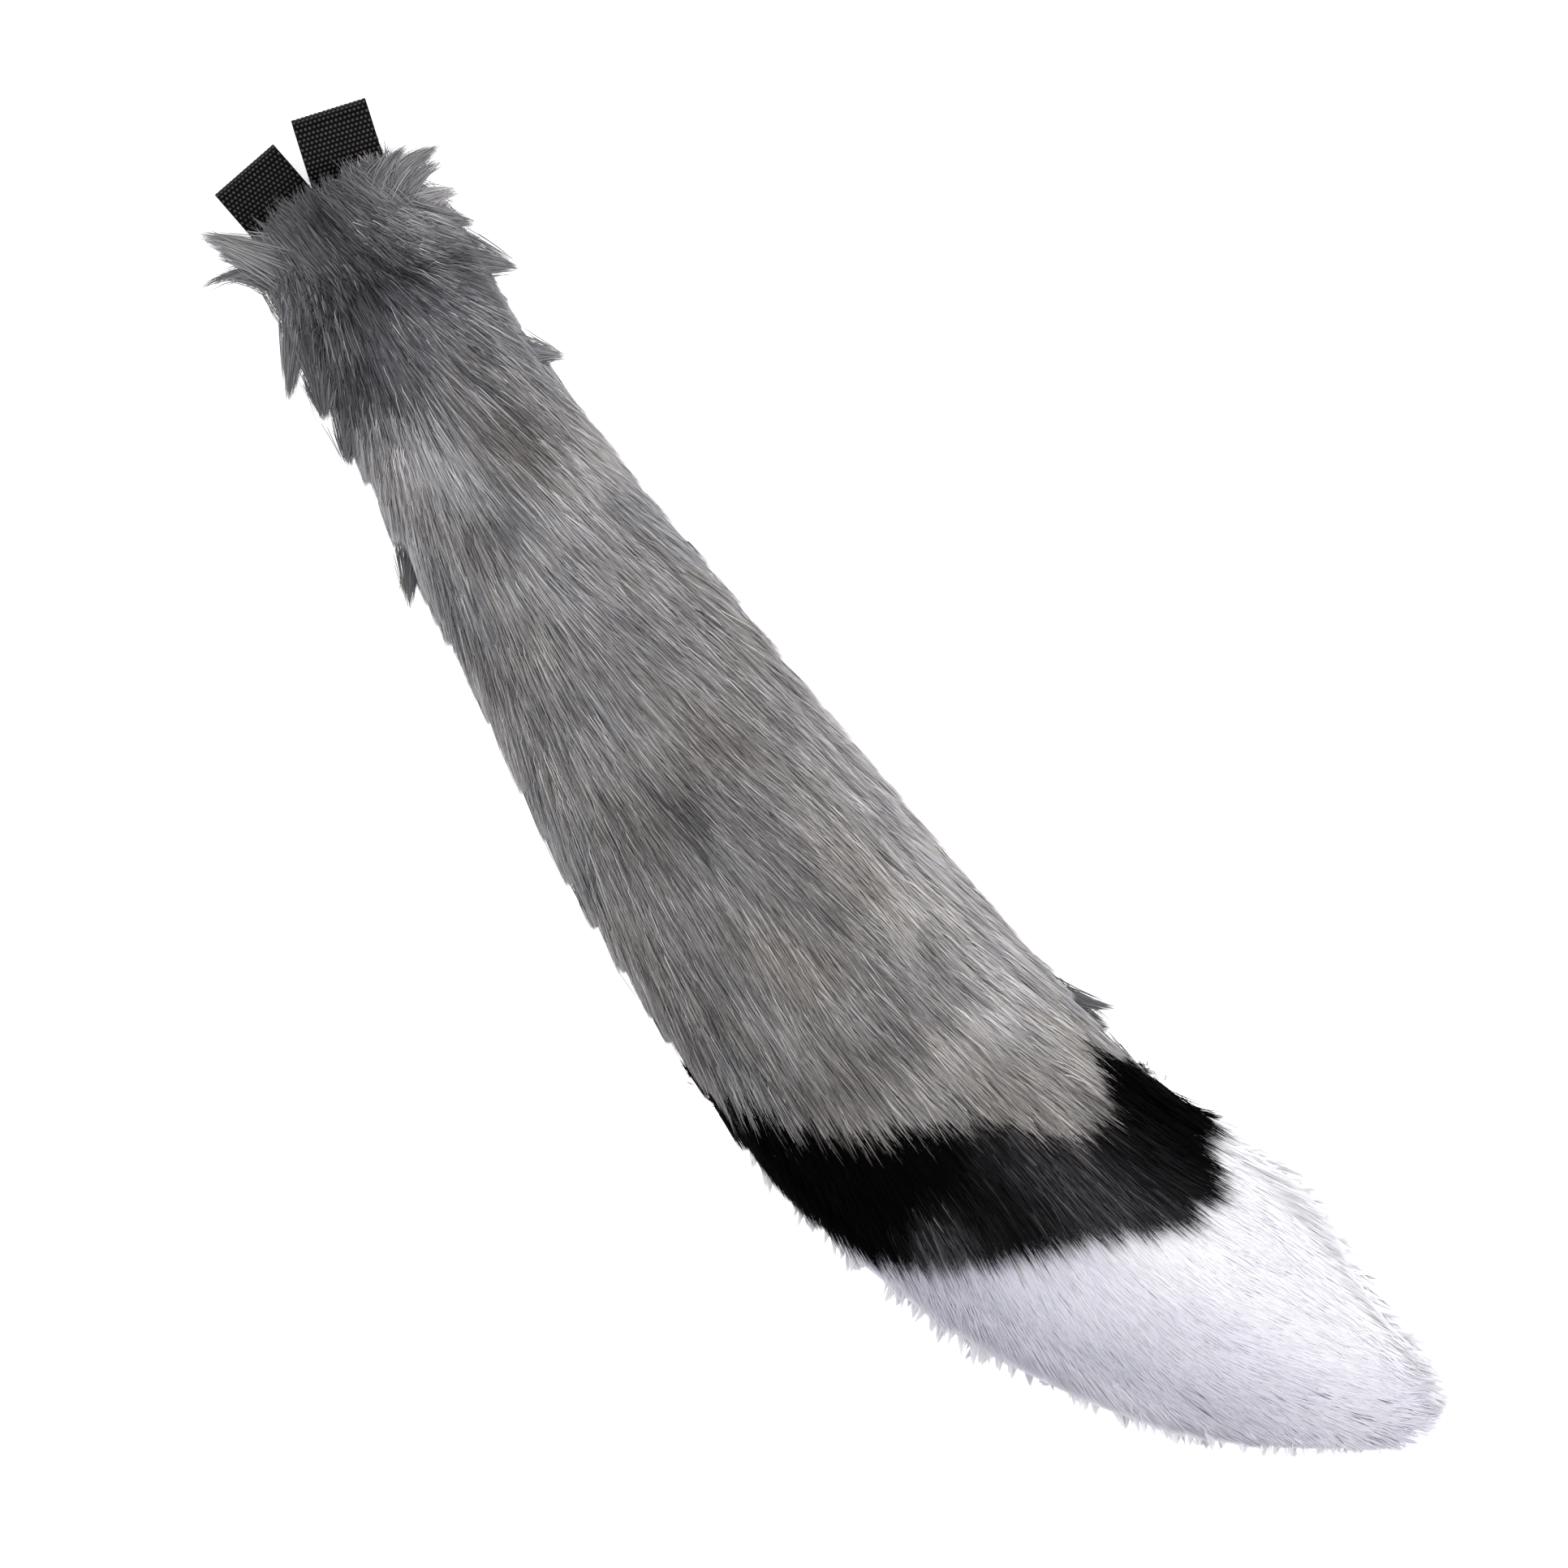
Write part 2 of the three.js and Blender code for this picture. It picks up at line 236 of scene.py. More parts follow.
# Each row is a place along the tail and its bow, width, height and lift off the table there, as shares of
# the measures above.
sections = np.array(
    [
        (0.0, 0.0, 0.5, 0.3, 0.07), (0.04, 0.04, 0.6, 0.52, 0.02), (0.09, 0.1, 0.62, 0.72, 0.0),
        (0.16, 0.34, 0.62, 0.83, 0.0), (0.25, 0.53, 0.69, 0.88, 0.0), (0.32, 0.66, 0.77, 0.92, 0.0),
        (0.4, 0.81, 0.87, 0.96, 0.0), (0.48, 0.91, 0.94, 0.99, 0.0), (0.56, 0.98, 0.98, 1.0, 0.0),
        (0.64, 0.97, 1.02, 1.0, 0.0), (0.7, 0.91, 1.02, 0.99, 0.0), (0.76, 0.77, 1.0, 0.97, 0.0),
        (0.82, 0.54, 0.98, 0.92, 0.0), (0.87, 0.39, 0.87, 0.84, 0.0), (0.91, 0.27, 0.72, 0.73, 0.0),
        (0.945, 0.11, 0.57, 0.58, 0.02), (0.97, -0.03, 0.43, 0.43, 0.06), (1.0, -0.15, 0.2, 0.2, 0.14),
    ]
)


def read_section(column, along):
    """One column of the section table, read smoothly between its rows."""
    at = np.clip(along, 0, 1)
    last = len(sections) - 1
    place = np.clip(np.searchsorted(sections[:, 0], at), 1, last)
    before, low, high, after = (sections[np.clip(place + k, 0, last)] for k in (-2, -1, 0, 1))
    span = high[..., 0] - low[..., 0]
    t = (at - low[..., 0]) / span
    into = (high[..., column] - before[..., column]) / (high[..., 0] - before[..., 0]) * span
    out_of = (after[..., column] - low[..., column]) / (after[..., 0] - low[..., 0]) * span
    return (
        low[..., column] * (1 + 2 * t) * (1 - t) ** 2
        + high[..., column] * t * t * (3 - 2 * t)
        + into * t * (1 - t) ** 2
        - out_of * t * t * (1 - t)
    )


def along_at(y):
    return 0.5 - (y - middle_y) / body_length


def half_width(along):
    return body_width / 2 * read_section(2, along)


def middle_line(along):
    return middle_x - side_bow * read_section(1, along)


def side_of(points, along):
    """Where points are across the tail, from -1 at its left flank to 1 at its right one."""
    return (points[..., 0] - middle_line(along)) / half_width(along)


def skin(along, angle, off=0.0):
    """A point on the tube, or that far off it: angle 0 is the +X side and a quarter turn its top."""
    along, angle, off = np.broadcast_arrays(along, angle, off)
    height = body_height * read_section(3, along)
    under = body_height * np.maximum(0, read_section(4, along))
    rise = np.where(np.sin(angle) > 0, height * (1 - belly_share), height * belly_depth)
    # Past the flat upper end the tube closes in a round end.
    past = np.clip(-along / 0.03, 0, 1)
    close = 1 - 0.75 * past**2
    half = (half_width(along) + off) * close
    x = middle_line(along) + half * np.cos(angle)
    y = middle_y + body_length * (0.5 - along)
    z = under + height * belly_share + (rise + off) * close * np.sin(angle)
    return np.stack([x, y, np.maximum(z, np.maximum(under - np.maximum(off, 0), 0.0004))], -1)


def seam(low, rise, angle):
    return low - rise * (1 - np.cos(angle - math.radians(65))) / 2


def grey_end(angle):
    return seam(0.705, 0.208, angle)


def black_end(angle):
    return seam(0.795, 0.183, angle)


def seen_edge(angle, places):
    """Where the pile of one colour ends on the next, read smoothly round the tail."""
    turns, edges = np.radians([p[0] for p in places]), [p[1] for p in places]
    return np.interp(np.mod(angle, 2 * math.pi), turns, edges, period=2 * math.pi)


# Each edge is given as degrees round the tail and the share of its length.
grey_edge = (
    (5, 0.732), (15, 0.75), (35, 0.72), (52, 0.755), (67, 0.749), (83, 0.705), (101, 0.681),
    (121, 0.652), (139, 0.613), (154, 0.588), (165, 0.572), (245, 0.53), (320, 0.62),
)
black_edge = (
    (0, 0.776), (25, 0.794), (42, 0.809), (54, 0.826), (64, 0.827), (74, 0.811), (84, 0.79),
    (93, 0.779), (119, 0.749), (145, 0.71), (162, 0.647), (180, 0.585), (245, 0.61), (320, 0.7),
)


# How far the backings run on past their seam and in under the fabric before it, as shares of the length
seam_allowance = 0.004
tucked_in = 0.01
round_count = 64


def backing(name, material, start, end, off, rings):
    """A closed tube of backing between two edges, which may run round the tail on a slant."""
    angle = np.linspace(0, 2 * math.pi, round_count, endpoint=False)
    share = np.linspace(0, 1, rings)[:, None]
    along = start(angle) + (end(angle) - start(angle)) * share
    points = skin(along, np.broadcast_to(angle, along.shape), off)
    ends = np.stack([points[0].mean(0), points[-1].mean(0)])
    faces = [(a, d, c, b) for a, b, c, d in walls_of(rings, round_count)]
    first, last = rings * round_count, (rings - 1) * round_count
    for i in range(round_count):
        j = (i + 1) % round_count
        faces.append((first, i, j))
        faces.append((first + 1, last + j, last + i))
    mesh = smooth_mesh(name, np.concatenate([points.reshape(-1, 3), ends]), faces)
    return placed(name, mesh, material)


def undercoat(name, dark, light):
    """Dense short underfur: fine streaks that run along the tail, over soft blotches."""
    finish = Finish(name)
    place = finish.node("ShaderNodeTexCoord", {}, {})[3]
    streaky = finish.node("ShaderNodeMapping", {}, {"Vector": place, "Scale": (1.0, 0.12, 1.0)})[0]
    fine = finish.noise(streaky, 1500.0, 3.0)
    blotch = finish.noise(place, 60.0, 2.0)
    colour = finish.ramp([(0.3, dark), (0.75, light)], fine * 0.7 + blotch * 0.3)
    relief = finish.node("ShaderNodeBump", {}, {"Height": fine, "Distance": 0.0008, "Strength": 0.9})[0]
    finish.surface(Base_Color=colour, Roughness=0.9, Normal=relief, Specular_IOR_Level=0.05)
    return finish.material


grey_backing = backing(
    "grey_backing",
    # The undercoat's dark grey is painted shade, the shade deep down under the hairs.
    undercoat("grey_undercoat_and_shade", paint(46, 46, 50), paint(88, 87, 90)),
    start=lambda angle: 0 * angle - 0.02,
    end=lambda angle: grey_end(angle) + seam_allowance,
    off=-0.0006,
    rings=90,
)
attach(grey_backing, "root")
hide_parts("fur_body_grey")

# The grey pile
# Long acrylic hairs, about 30 mm, that lie toward the tip and gather in small pointed locks. Light and dark
# hairs are mixed in streaks and soft patches, bluer at the dark upper end and warmer down the middle.
shares = np.array([0.0, 0.45, 1.0])
rise_of_hair = np.array([0.0, 0.85, 1.0])
root_depth = 0.0012


def way_out(along, angle):
    """The direction straight out of the tube."""
    step = 1e-3
    down = skin(along + step, angle) - skin(along - step, angle)
    turn = skin(along, angle + step * 5) - skin(along, angle - step * 5)
    out = np.cross(turn, down)
    size = np.linalg.norm(out, axis=-1, keepdims=True)
    flat = np.stack([0 * angle, 0 * angle, np.sign(np.sin(angle))], -1)
    return np.where(size > 1e-12, out / np.maximum(size, 1e-12), flat)


def girth(along, angle):
    """How much skin one radian takes up round the tube."""
    height = body_height * read_section(3, along)
    return np.hypot(half_width(along) * np.sin(angle), height * 0.55 * np.cos(angle))


def drift(points, size, seed, stretch=2.4, waves=14):
    """Smooth, seeded unevenness from about -1 to 1, drawn out along the tail."""
    rng = np.random.default_rng(seed)
    total = 0
    for _ in range(waves):
        turn = rng.uniform(0, 2 * math.pi)
        pace = 2 * math.pi / (size * rng.uniform(0.7, 1.6))
        wave = points[:, 0] * math.cos(turn) * pace + points[:, 1] * math.sin(turn) * pace / stretch
        total = total + np.sin(wave + points[:, 2] * pace * 0.7 + rng.uniform(0, 6.28))
    return total / math.sqrt(waves)


# How far the pile leans aside, in degrees from straight toward the tip, at the left and at the right flank
lean_left_at = [
    -0.29, -0.25, -0.2, -0.15, -0.1, -0.05, 0.0, 0.05, 0.1, 0.15, 0.2, 0.222, 0.232, 0.242, 0.25, 0.262,
]
lean_left = [45, 38, 38, 30, 22, 20, 22, 26, 32, 38, 45, 54, 46, 18, 24, 34]
lean_right_at = [
    -0.29, -0.25, -0.22, -0.19, -0.17, -0.14, -0.1, -0.05, 0.1, 0.17, 0.19, 0.21, 0.225, 0.235, 0.25,
    0.262,
]
lean_right = [12, -4, 0, 8, 26, 30, 16, 8, 6, 12, 12, 34, 34, 28, 50, 60]
# The same down the middle, where it follows the bend of the tail toward the tip
lean_middle_at = [-0.29, -0.24, -0.2, -0.17, -0.13, -0.1]
lean_middle = [-32, -26, -20, -10, 6, 0]
parting = np.array([0.0246, 0.2635])


def lean_of(points, along):
    side = np.clip(side_of(points, along), -1, 1)
    left = np.interp(points[:, 1], lean_left_at, lean_left) * np.clip(-side, 0, 1) ** 1.15
    right = np.interp(points[:, 1], lean_right_at, lean_right) * np.clip(side, 0, 1) ** 1.3
    middle = np.interp(points[:, 1], lean_middle_at, lean_middle)
    lean = left - right + middle + 4 * drift(points, 0.045, 3)
    # Round the parting at the upper end the pile points away from it, up over the loops too.
    off = points[:, :2] - parting
    away = np.degrees(np.arctan2(-off[:, 0], -off[:, 1]))
    near = np.exp(-((np.hypot(off[:, 0] * 0.6, off[:, 1]) / 0.006) ** 2))
    return np.where(points[:, 2] < 0.008, 0.3, 1.0) * (lean + (away - lean) * near)


# The share of the pile that is left on the underside, where the tail lies on it
underside_share = 0.22
# No radian round the tail takes up more skin than this, so it gives the densest places a chance under 1.
most_girth = 0.056


def scatter(rng, count, start, end):
    """Places spread evenly over the skin between two edges, fewer on the underside."""
    places = []
    found = 0
    while found < count:
        angle = rng.uniform(0, 2 * math.pi, count * 3)
        first, last = start(angle), end(angle)
        along = first + (last - first) * rng.uniform(0, 1, len(angle)) + rng.normal(0, 0.004, len(angle))
        chance = girth(along, angle) / most_girth * (last - first) / (last - first).max()
        chance = chance * np.where(np.sin(angle) < -0.35, underside_share, 1.0)
        kept = rng.uniform(0, 1, len(angle)) < chance
        places.append(np.stack([along[kept], angle[kept]], 1))
        found += kept.sum()
    return np.concatenate(places)[:count].T


def heading(lean):
    turn = np.radians(lean)
    return np.stack([-np.sin(turn), -np.cos(turn), 0 * turn], -1)


def lie(along, angle, lean, length, lift):
    """Where hairs lie: their points at each share, the way out of the skin and the way that they run."""
    root = skin(along, angle, -root_depth)
    out = way_out(along, angle)
    run = heading(lean)
    inward = (run * out).sum(-1, keepdims=True)
    run = run - out * np.where(inward > 0, 0.72, 1.0) * inward
    run = unit(run)
    reach = (length[:, None] * shares)[..., None] * run[:, None]
    rise = (lift[:, None] * rise_of_hair + root_depth)[..., None] * out[:, None]
    rise[:, 0] = 0
    return root[:, None] + reach + rise, out, run


def gather(paths, guides, pull):
    """Draws hairs toward the hair that their lock gathers on, the more so toward their tips."""
    return paths + (guides - paths) * (pull[:, None] * shares**1.4)[..., None]


# How far the pile stands out past the left and the right flank of the tube, in millimetres
flank_at = [
    -0.286, -0.272, -0.256, -0.24, -0.224, -0.208, -0.192, -0.175, -0.16, -0.144, -0.12, -0.09, -0.05,
    0.0, 0.08, 0.15, 0.19, 0.225, 0.24,
]
flank_left = [
    2.5, 2.1, 2.2, 2.5, 3.2, 0.9, 0.5, 2.6, 3.8, 2.6, 1.8, 3.0, 1.6, 1.8, 2.6, 2.6, 2.4, 1.2, 0.4,
]
flank_right = [
    9.0, 9.3, 3.8, 2.4, 3.8, 6.4, 4.4, -0.6, 1.2, -1.2, 0.2, 2.4, 4.8, 5.4, 6.4, 6.2, 2.0, 3.6, 4.2,
]
# The pile of both flanks ends in long pointed teeth, one below the other
tooth_rng = np.random.default_rng(61)
teeth = [[-0.168], [-0.168]]
for flank_teeth in teeth:
    while flank_teeth[-1] < 0.3:
        flank_teeth.append(flank_teeth[-1] + tooth_rng.uniform(0.007, 0.022))
tooth_depths = tooth_rng.uniform(0.0015, 0.0032, (2, 80))


def out_past(paths):
    """Which flank a point is nearer, and how far it is out past the tube there."""
    along = along_at(paths[..., 1])
    aside = paths[..., 0] - middle_line(along)
    return np.sign(aside), np.maximum(np.abs(aside) - half_width(along), 0)


def tooth_offset(y, flank_teeth, depths):
    upper = np.clip(np.searchsorted(flank_teeth, y), 1, len(flank_teeth) - 1)
    high, low = np.array(flank_teeth)[upper], np.array(flank_teeth)[upper - 1]
    share = np.clip((high - y) / (high - low), 0, 1)
    return np.where(y > flank_teeth[0], depths[upper] * (share - 0.6), 0)


def flank_reach(paths):
    """How far the pile may stand out past the tube at the height of these points."""
    y = paths[..., 1]
    flank = np.sign(paths[..., 0] - middle_line(along_at(y)))
    left = np.interp(y, flank_at, flank_left) / 1000 + tooth_offset(y, teeth[0], tooth_depths[0])
    right = np.interp(y, flank_at, flank_right) / 1000 + tooth_offset(y, teeth[1], tooth_depths[1])
    return np.where(flank < 0, left, right)


# The outline of the rounded end
end_x = [0.014, 0.018, 0.023, 0.028, 0.034, 0.041, 0.047, 0.052, 0.056]
end_y = [-0.27, -0.274, -0.2775, -0.283, -0.2855, -0.286, -0.283, -0.277, -0.267]
# A hair may always stand out this far past the tube, and none goes on past this place beyond the tip.
least_reach = 0.0002
furthest_y = -0.2885


def trim(paths, stand):
    """Shortens hairs so that they end at the outline, or that much past it."""
    root = paths[:, :1]
    way = paths - root
    kept = np.full(len(paths), 0.12)
    for part in np.linspace(0.2, 1.0, 17):
        tip = root[:, 0] + way[:, -1] * part
        inside = out_past(tip)[1] <= np.maximum(flank_reach(tip) + stand, least_reach)
        end = np.interp(tip[:, 0], end_x, end_y) - stand * 0.7
        short = tip[:, 1] > np.maximum(end, furthest_y)
        kept = np.where(inside & short, part, kept)
    return root + way * kept[:, None, None]


def hold_in(paths, tips, stand):
    """Draws the hairs of each tuft out to the outline of the flank, and ends them there."""
    scale = np.clip(flank_reach(tips) / np.maximum(out_past(tips)[1], 1e-5), 1, 1.9)
    flank, past = out_past(paths)
    paths[..., 0] += flank * past * (scale[:, None] - 1)
    return trim(paths, stand)


# The skin is followed this far out to each flank, past which it turns down too steeply to comb hair onto.
combed_share = 0.9


def settle(paths, rise, upper):
    """Combs hairs down onto the curve of the tail, no higher over it than their rise."""
    along = along_at(paths[..., 1])
    side = np.clip(side_of(paths, along), -combed_share, combed_share)
    top = skin(along, np.arccos(side))[..., 2] + rise[:, None]
    bottom = skin(along, -np.arccos(side))[..., 2] - rise[:, None]
    z = paths[..., 2]
    paths[..., 2] = np.where(upper[:, None], np.minimum(z, top), np.maximum(z, bottom))
    return paths


def nearest(centres, points):
    tree = kdtree.KDTree(len(centres))
    for i, centre in enumerate(centres):
        tree.insert(centre, i)
    tree.balance()
    return np.array([tree.find(point)[1] for point in points])


# Six hairs gather in a lock, this far apart at their roots. The count of tufts follows the area that they
# share, with fewer of them where a pile has fewer hairs than a full one.
hairs_per_lock = 6
lock_spread = 0.0006
tufted_area = 0.1
full_pile = 130000


def with_own(rng, hair):
    """Adds what each hair has for itself: its tone, its roll and the chance that it is an odd one."""
    many = len(hair["paths"])
    hair["hair_tone"] = rng.normal(0, 1, many)
    hair["roll"] = rng.uniform(-1.0, 1.0, many)
    hair["chance"] = rng.uniform(0, 1, many)
    return hair


def grow(seed, hairs, start, end, length, lift, tuft_size, tuft_pull, held=0.0):
    """Hairs between two edges of the skin: hairs gather in locks, and locks in tufts."""
    rng = np.random.default_rng(seed)
    locks = hairs // hairs_per_lock
    tufts = int(tufted_area / (3.1 * tuft_size**2) * hairs / full_pile)
    along, angle = scatter(rng, tufts, start, end)
    place = skin(along, angle)
    tuft_lean = lean_of(place, along) + rng.normal(0, 5, tufts)
    tuft_length = length(place, along) * rng.uniform(0.85, 1.2, tufts)
    tuft_lift = lift(place, along) * rng.uniform(0.5, 1.5, tufts)
    tuft_path = lie(along, angle, tuft_lean, tuft_length, tuft_lift)[0]
    tuft_tone = rng.normal(0, 1, tufts)

    along, angle = scatter(rng, locks, start, end)
    place = skin(along, angle)
    tuft = nearest(tuft_path[:, 0], place)
    lock_lean = lean_of(place, along) + rng.normal(0, 4, locks)
    lock_length = length(place, along) * rng.uniform(0.7, 1.15, locks)
    lock_lift = lift(place, along) * rng.uniform(0.3, 1.2, locks)
    lock_path = lie(along, angle, lock_lean, lock_length, lock_lift)[0]
    lock_pull = tuft_pull(place, along) * rng.uniform(0.8, 1.1, locks)
    lock_path = gather(lock_path, tuft_path[tuft], lock_pull)
    lock_tone = rng.normal(0, 1, locks)

    lock = np.repeat(np.arange(locks), hairs_per_lock)
    count = len(lock)
    spread = rng.normal(0, lock_spread, (count, 2))
    hair_along = along[lock] + spread[:, 0] * 1.6 / body_length
    hair_angle = angle[lock] + spread[:, 1] / np.maximum(girth(along[lock], angle[lock]), 0.006)
    hair_lean = lock_lean[lock] + rng.normal(0, 2.5, count)
    hair_length = lock_length[lock] * rng.uniform(0.65, 1.12, count)
    hair_lift = lock_lift[lock] * rng.uniform(0.6, 1.3, count)
    paths, out, run = lie(hair_along, hair_angle, hair_lean, hair_length, hair_lift)
    loose = rng.uniform(0, 1, count) < 0.2
    paths = gather(paths, lock_path[lock], np.where(loose, 0.0, rng.uniform(0.1, 0.55, count)))
    of_tuft = tuft[lock]
    # One tuft in four reaches the outline of the flank, and the others end inside it.
    full = rng.uniform(0, 1, tufts) < 0.25
    reached, short_of = rng.uniform(-0.0001, 0.0004, tufts), rng.uniform(-0.0016, -0.0004, tufts)
    stand = np.where(full, reached, short_of) - held
    paths = hold_in(paths, tuft_path[of_tuft, -1], stand[of_tuft] + rng.normal(0, 0.0002, count))
    paths = settle(paths, hair_lift + 0.0009, np.sin(hair_angle) > 0)
    hair = {"paths": paths, "out": out, "run": run, "root": skin(hair_along, hair_angle)}
    hair.update(along=hair_along, tuft_tone=tuft_tone[of_tuft], lock_tone=lock_tone[lock])
    return with_own(rng, hair)


def as_hairs(rng, paths, out):
    """Hairs of these paths, with what tells their colour."""
    many = len(paths)
    hair = {"paths": paths, "out": out, "run": unit(paths[:, -1] - paths[:, 0]), "root": paths[:, 0]}
    hair["along"] = along_at(paths[:, 0, 1])
    hair["tuft_tone"] = rng.normal(0, 1, many)
    hair["lock_tone"] = rng.normal(0, 1, many)
    return with_own(rng, hair)


hairs_per_spike = 24


def flank_spikes(seed, count, start, end, longest, outward, least, most, broad, shortest=0.6):
    """Small pointed tufts that stand out along both flanks, between two edges of the skin."""
    rng = np.random.default_rng(seed)
    left = np.arange(count) % 2 == 0
    tilt = rng.uniform(0.1, 0.75, count) * np.where(rng.uniform(0, 1, count) < 0.75, 1, -1)
    angle = np.where(left, math.pi - tilt, tilt)
    share = (np.arange(count) + rng.uniform(0, 1.6, count)) / count
    along = start(angle) + (end(angle) - start(angle)) * np.clip(share, 0, 1)
    root = skin(along, angle)
    sides = np.where(left, 1, -1)
    lean = lean_of(root, along) + sides * np.where(left, *outward) + rng.normal(0, 9, count)
    way = heading(lean) * longest
    way[:, 2] = (skin(along, np.where(left, math.pi, 0.0))[:, 2] - root[:, 2]) * 0.5
    straight = root[:, None] + way[:, None] * shares[:, None]
    path = trim(straight, rng.uniform(least, most, count))
    spike = np.repeat(np.arange(count), hairs_per_spike)
    many = len(spike)
    spread = rng.normal(0, broad, (many, 3)) * (1.0, 1.0, 0.5)
    reach = rng.uniform(shortest, 1.0, many)[:, None] * shares
    paths = path[spike][:, :1] + (path[spike][:, -1:] - path[spike][:, :1]) * reach[..., None]
    paths = paths + spread[:, None] * (1 - 0.93 * reach)[..., None]
    facing = np.sign(np.sin(angle[spike]))[:, None]
    out = way_out(along, angle)[spike] * 0.6 + np.array([0.0, 0.0, 0.7]) * facing
    paths = settle(paths, rng.uniform(0.0008, 0.0022, many), np.sin(angle[spike]) > 0)
    return as_hairs(rng, paths, unit(out))


def together(first, second):
    return {key: np.concatenate([first[key], second[key]]) for key in first}


# No hair goes lower than this over the table.
above_table = 0.0003


def ribbons(name, hair, tone, cool, width, finish, crisp=0.22, keep=slice(None)):
    """Makes each hair a slim ribbon that runs to a point, all of them one mesh."""
    paths, out, run = (hair[k][keep] for k in ("paths", "out", "run"))
    roll, tone, cool = hair["roll"][keep], np.clip(tone[keep], 0, 1), cool[keep].astype(float)
    count, stops = paths.shape[:2]
    across = np.cross(run, out)
    across = across * np.cos(roll)[:, None] + out * np.sin(roll)[:, None]
    half = width / 2 * np.concatenate([[0.7], np.ones(stops - 2), [0.0]])
    left = paths - across[:, None] * half[:, None]
    right = paths + across[:, None] * half[:, None]
    edges = np.stack([left, right], 2)[:, :-1].reshape(count, -1, 3)
    points = np.concatenate([edges, paths[:, -1:]], 1)
    points[..., 2] = np.maximum(points[..., 2], above_table)
    per_hair = points.shape[1]
    # A ribbon is a row of four-sided faces that ends in a triangle.
    starts = 4 * np.arange(stops - 1)
    quads = 2 * np.arange(stops - 2)[:, None] + np.array([0, 1, 3, 2])
    corner_row = np.append(quads, [2 * stops - 4, 2 * stops - 3, 2 * stops - 2])
    first = np.arange(count)[:, None]
    corners = (first * per_hair + corner_row).ravel()
    mesh = bpy.data.meshes.new(name)
    mesh.vertices.add(count * per_hair)
    mesh.vertices.foreach_set("co", points.astype(np.float32).ravel())
    mesh.loops.add(len(corners))
    mesh.loops.foreach_set("vertex_index", corners.astype(np.int32))
    mesh.polygons.add(count * len(starts))
    first_corners = first * len(corner_row) + starts
    mesh.polygons.foreach_set("loop_start", first_corners.ravel().astype(np.int32))
    mesh.polygons.foreach_set("use_smooth", np.ones(count * len(starts), bool))
    mesh.update(calc_edges=True)
    # A hair's colour is told by its tone, by how near its tip a point is and by whether it is cool.
    tip = np.concatenate([np.repeat(np.linspace(0, 1, stops)[:-1], 2), [1.0]])
    side = np.concatenate([np.tile([-1.0, 1.0], stops - 1), [0.0]])
    tone, tip, cool = np.repeat(tone, per_hair), np.tile(tip, count), np.repeat(cool, per_hair)
    tell(mesh, "tone", tone)
    tell(mesh, "tip", tip)
    tell(mesh, "cool", cool)
    u = 0.02 + 0.95 * tone + 0.006 * np.tile(side, count)
    v = 0.02 + 0.5 * cool + 0.45 * tip
    unwrap(mesh, u[corners], v[corners])
    # The hairs are shaded as the soft round body that they make up, and only partly as ribbons.
    own = np.cross(across, run)
    own = own * np.sign((own * out).sum(-1, keepdims=True))
    soft = unit(out * (1 - crisp) + own * crisp)
    mesh.normals_split_custom_set_from_vertices(np.repeat(soft, per_hair, 0).tolist())
    return placed(name, mesh, finish)


def pile_finish(name, warm, cold, tip_gain, gloss):
    """Acrylic hair: its colour follows the hair's tone, with a darker root and a paler tip."""
    finish = Finish(name)
    tone, tip, cool = (finish.attribute(name) for name in ("tone", "tip", "cool"))
    spot = finish.node("ShaderNodeCombineXYZ", {}, {"X": tone * 60, "Y": tip * 2.5, "Z": cool})[0]
    streak = finish.noise(spot, 1.0, 2.0)
    level = tone + tip * tip_gain + streak * 0.1 - (0.05 + tip_gain * 0.6)
    by_cool = {0: cool, 6: finish.ramp(warm, level), 7: finish.ramp(cold, level)}
    colour = finish.node("ShaderNodeMix", {"data_type": "RGBA"}, by_cool)[2]
    finish.surface(Base_Color=colour, Roughness=0.6, Specular_IOR_Level=gloss)
    return finish.material


# The upper end is turned down as a flap, whose messy edge casts a shade on the pile below it
flap_edge_x = [-0.021, -0.014, 0.002, 0.012, 0.022, 0.037, 0.045, 0.055, 0.062]
flap_edge_y = [0.216, 0.2225, 0.229, 0.2305, 0.23, 0.2245, 0.219, 0.206, 0.2]


def above_flap_edge(place):
    return place[:, 1] - np.interp(place[:, 0], flap_edge_x, flap_edge_y)


def grey_length(place, along):
    lengths = [0.024, 0.027, 0.028, 0.028, 0.021, 0.008]
    free = np.interp(place[:, 1], [-0.12, -0.05, 0.1, 0.19, 0.24, 0.256], lengths)
    above = above_flap_edge(place)
    return np.where(above > 0.001, np.clip(above * 1.1 + 0.004, 0.01, free), free)


def grey_lift(place, along):
    above = above_flap_edge(place)
    side = np.clip(np.abs(side_of(place, along)), 0, 1)
    lifts = [0.0042, 0.0022, 0.001, 0.0088, 0.0085, 0.005]
    lift = np.interp(above, [-0.04, -0.02, -0.002, 0.002, 0.012, 0.03], lifts)
    return np.where(side > 0.8, np.minimum(lift, 0.0035), lift)


def grey_pull(place, along):
    side = np.abs(side_of(place, along))
    return 0.14 + 0.7 * np.clip(side, 0, 1) ** 4
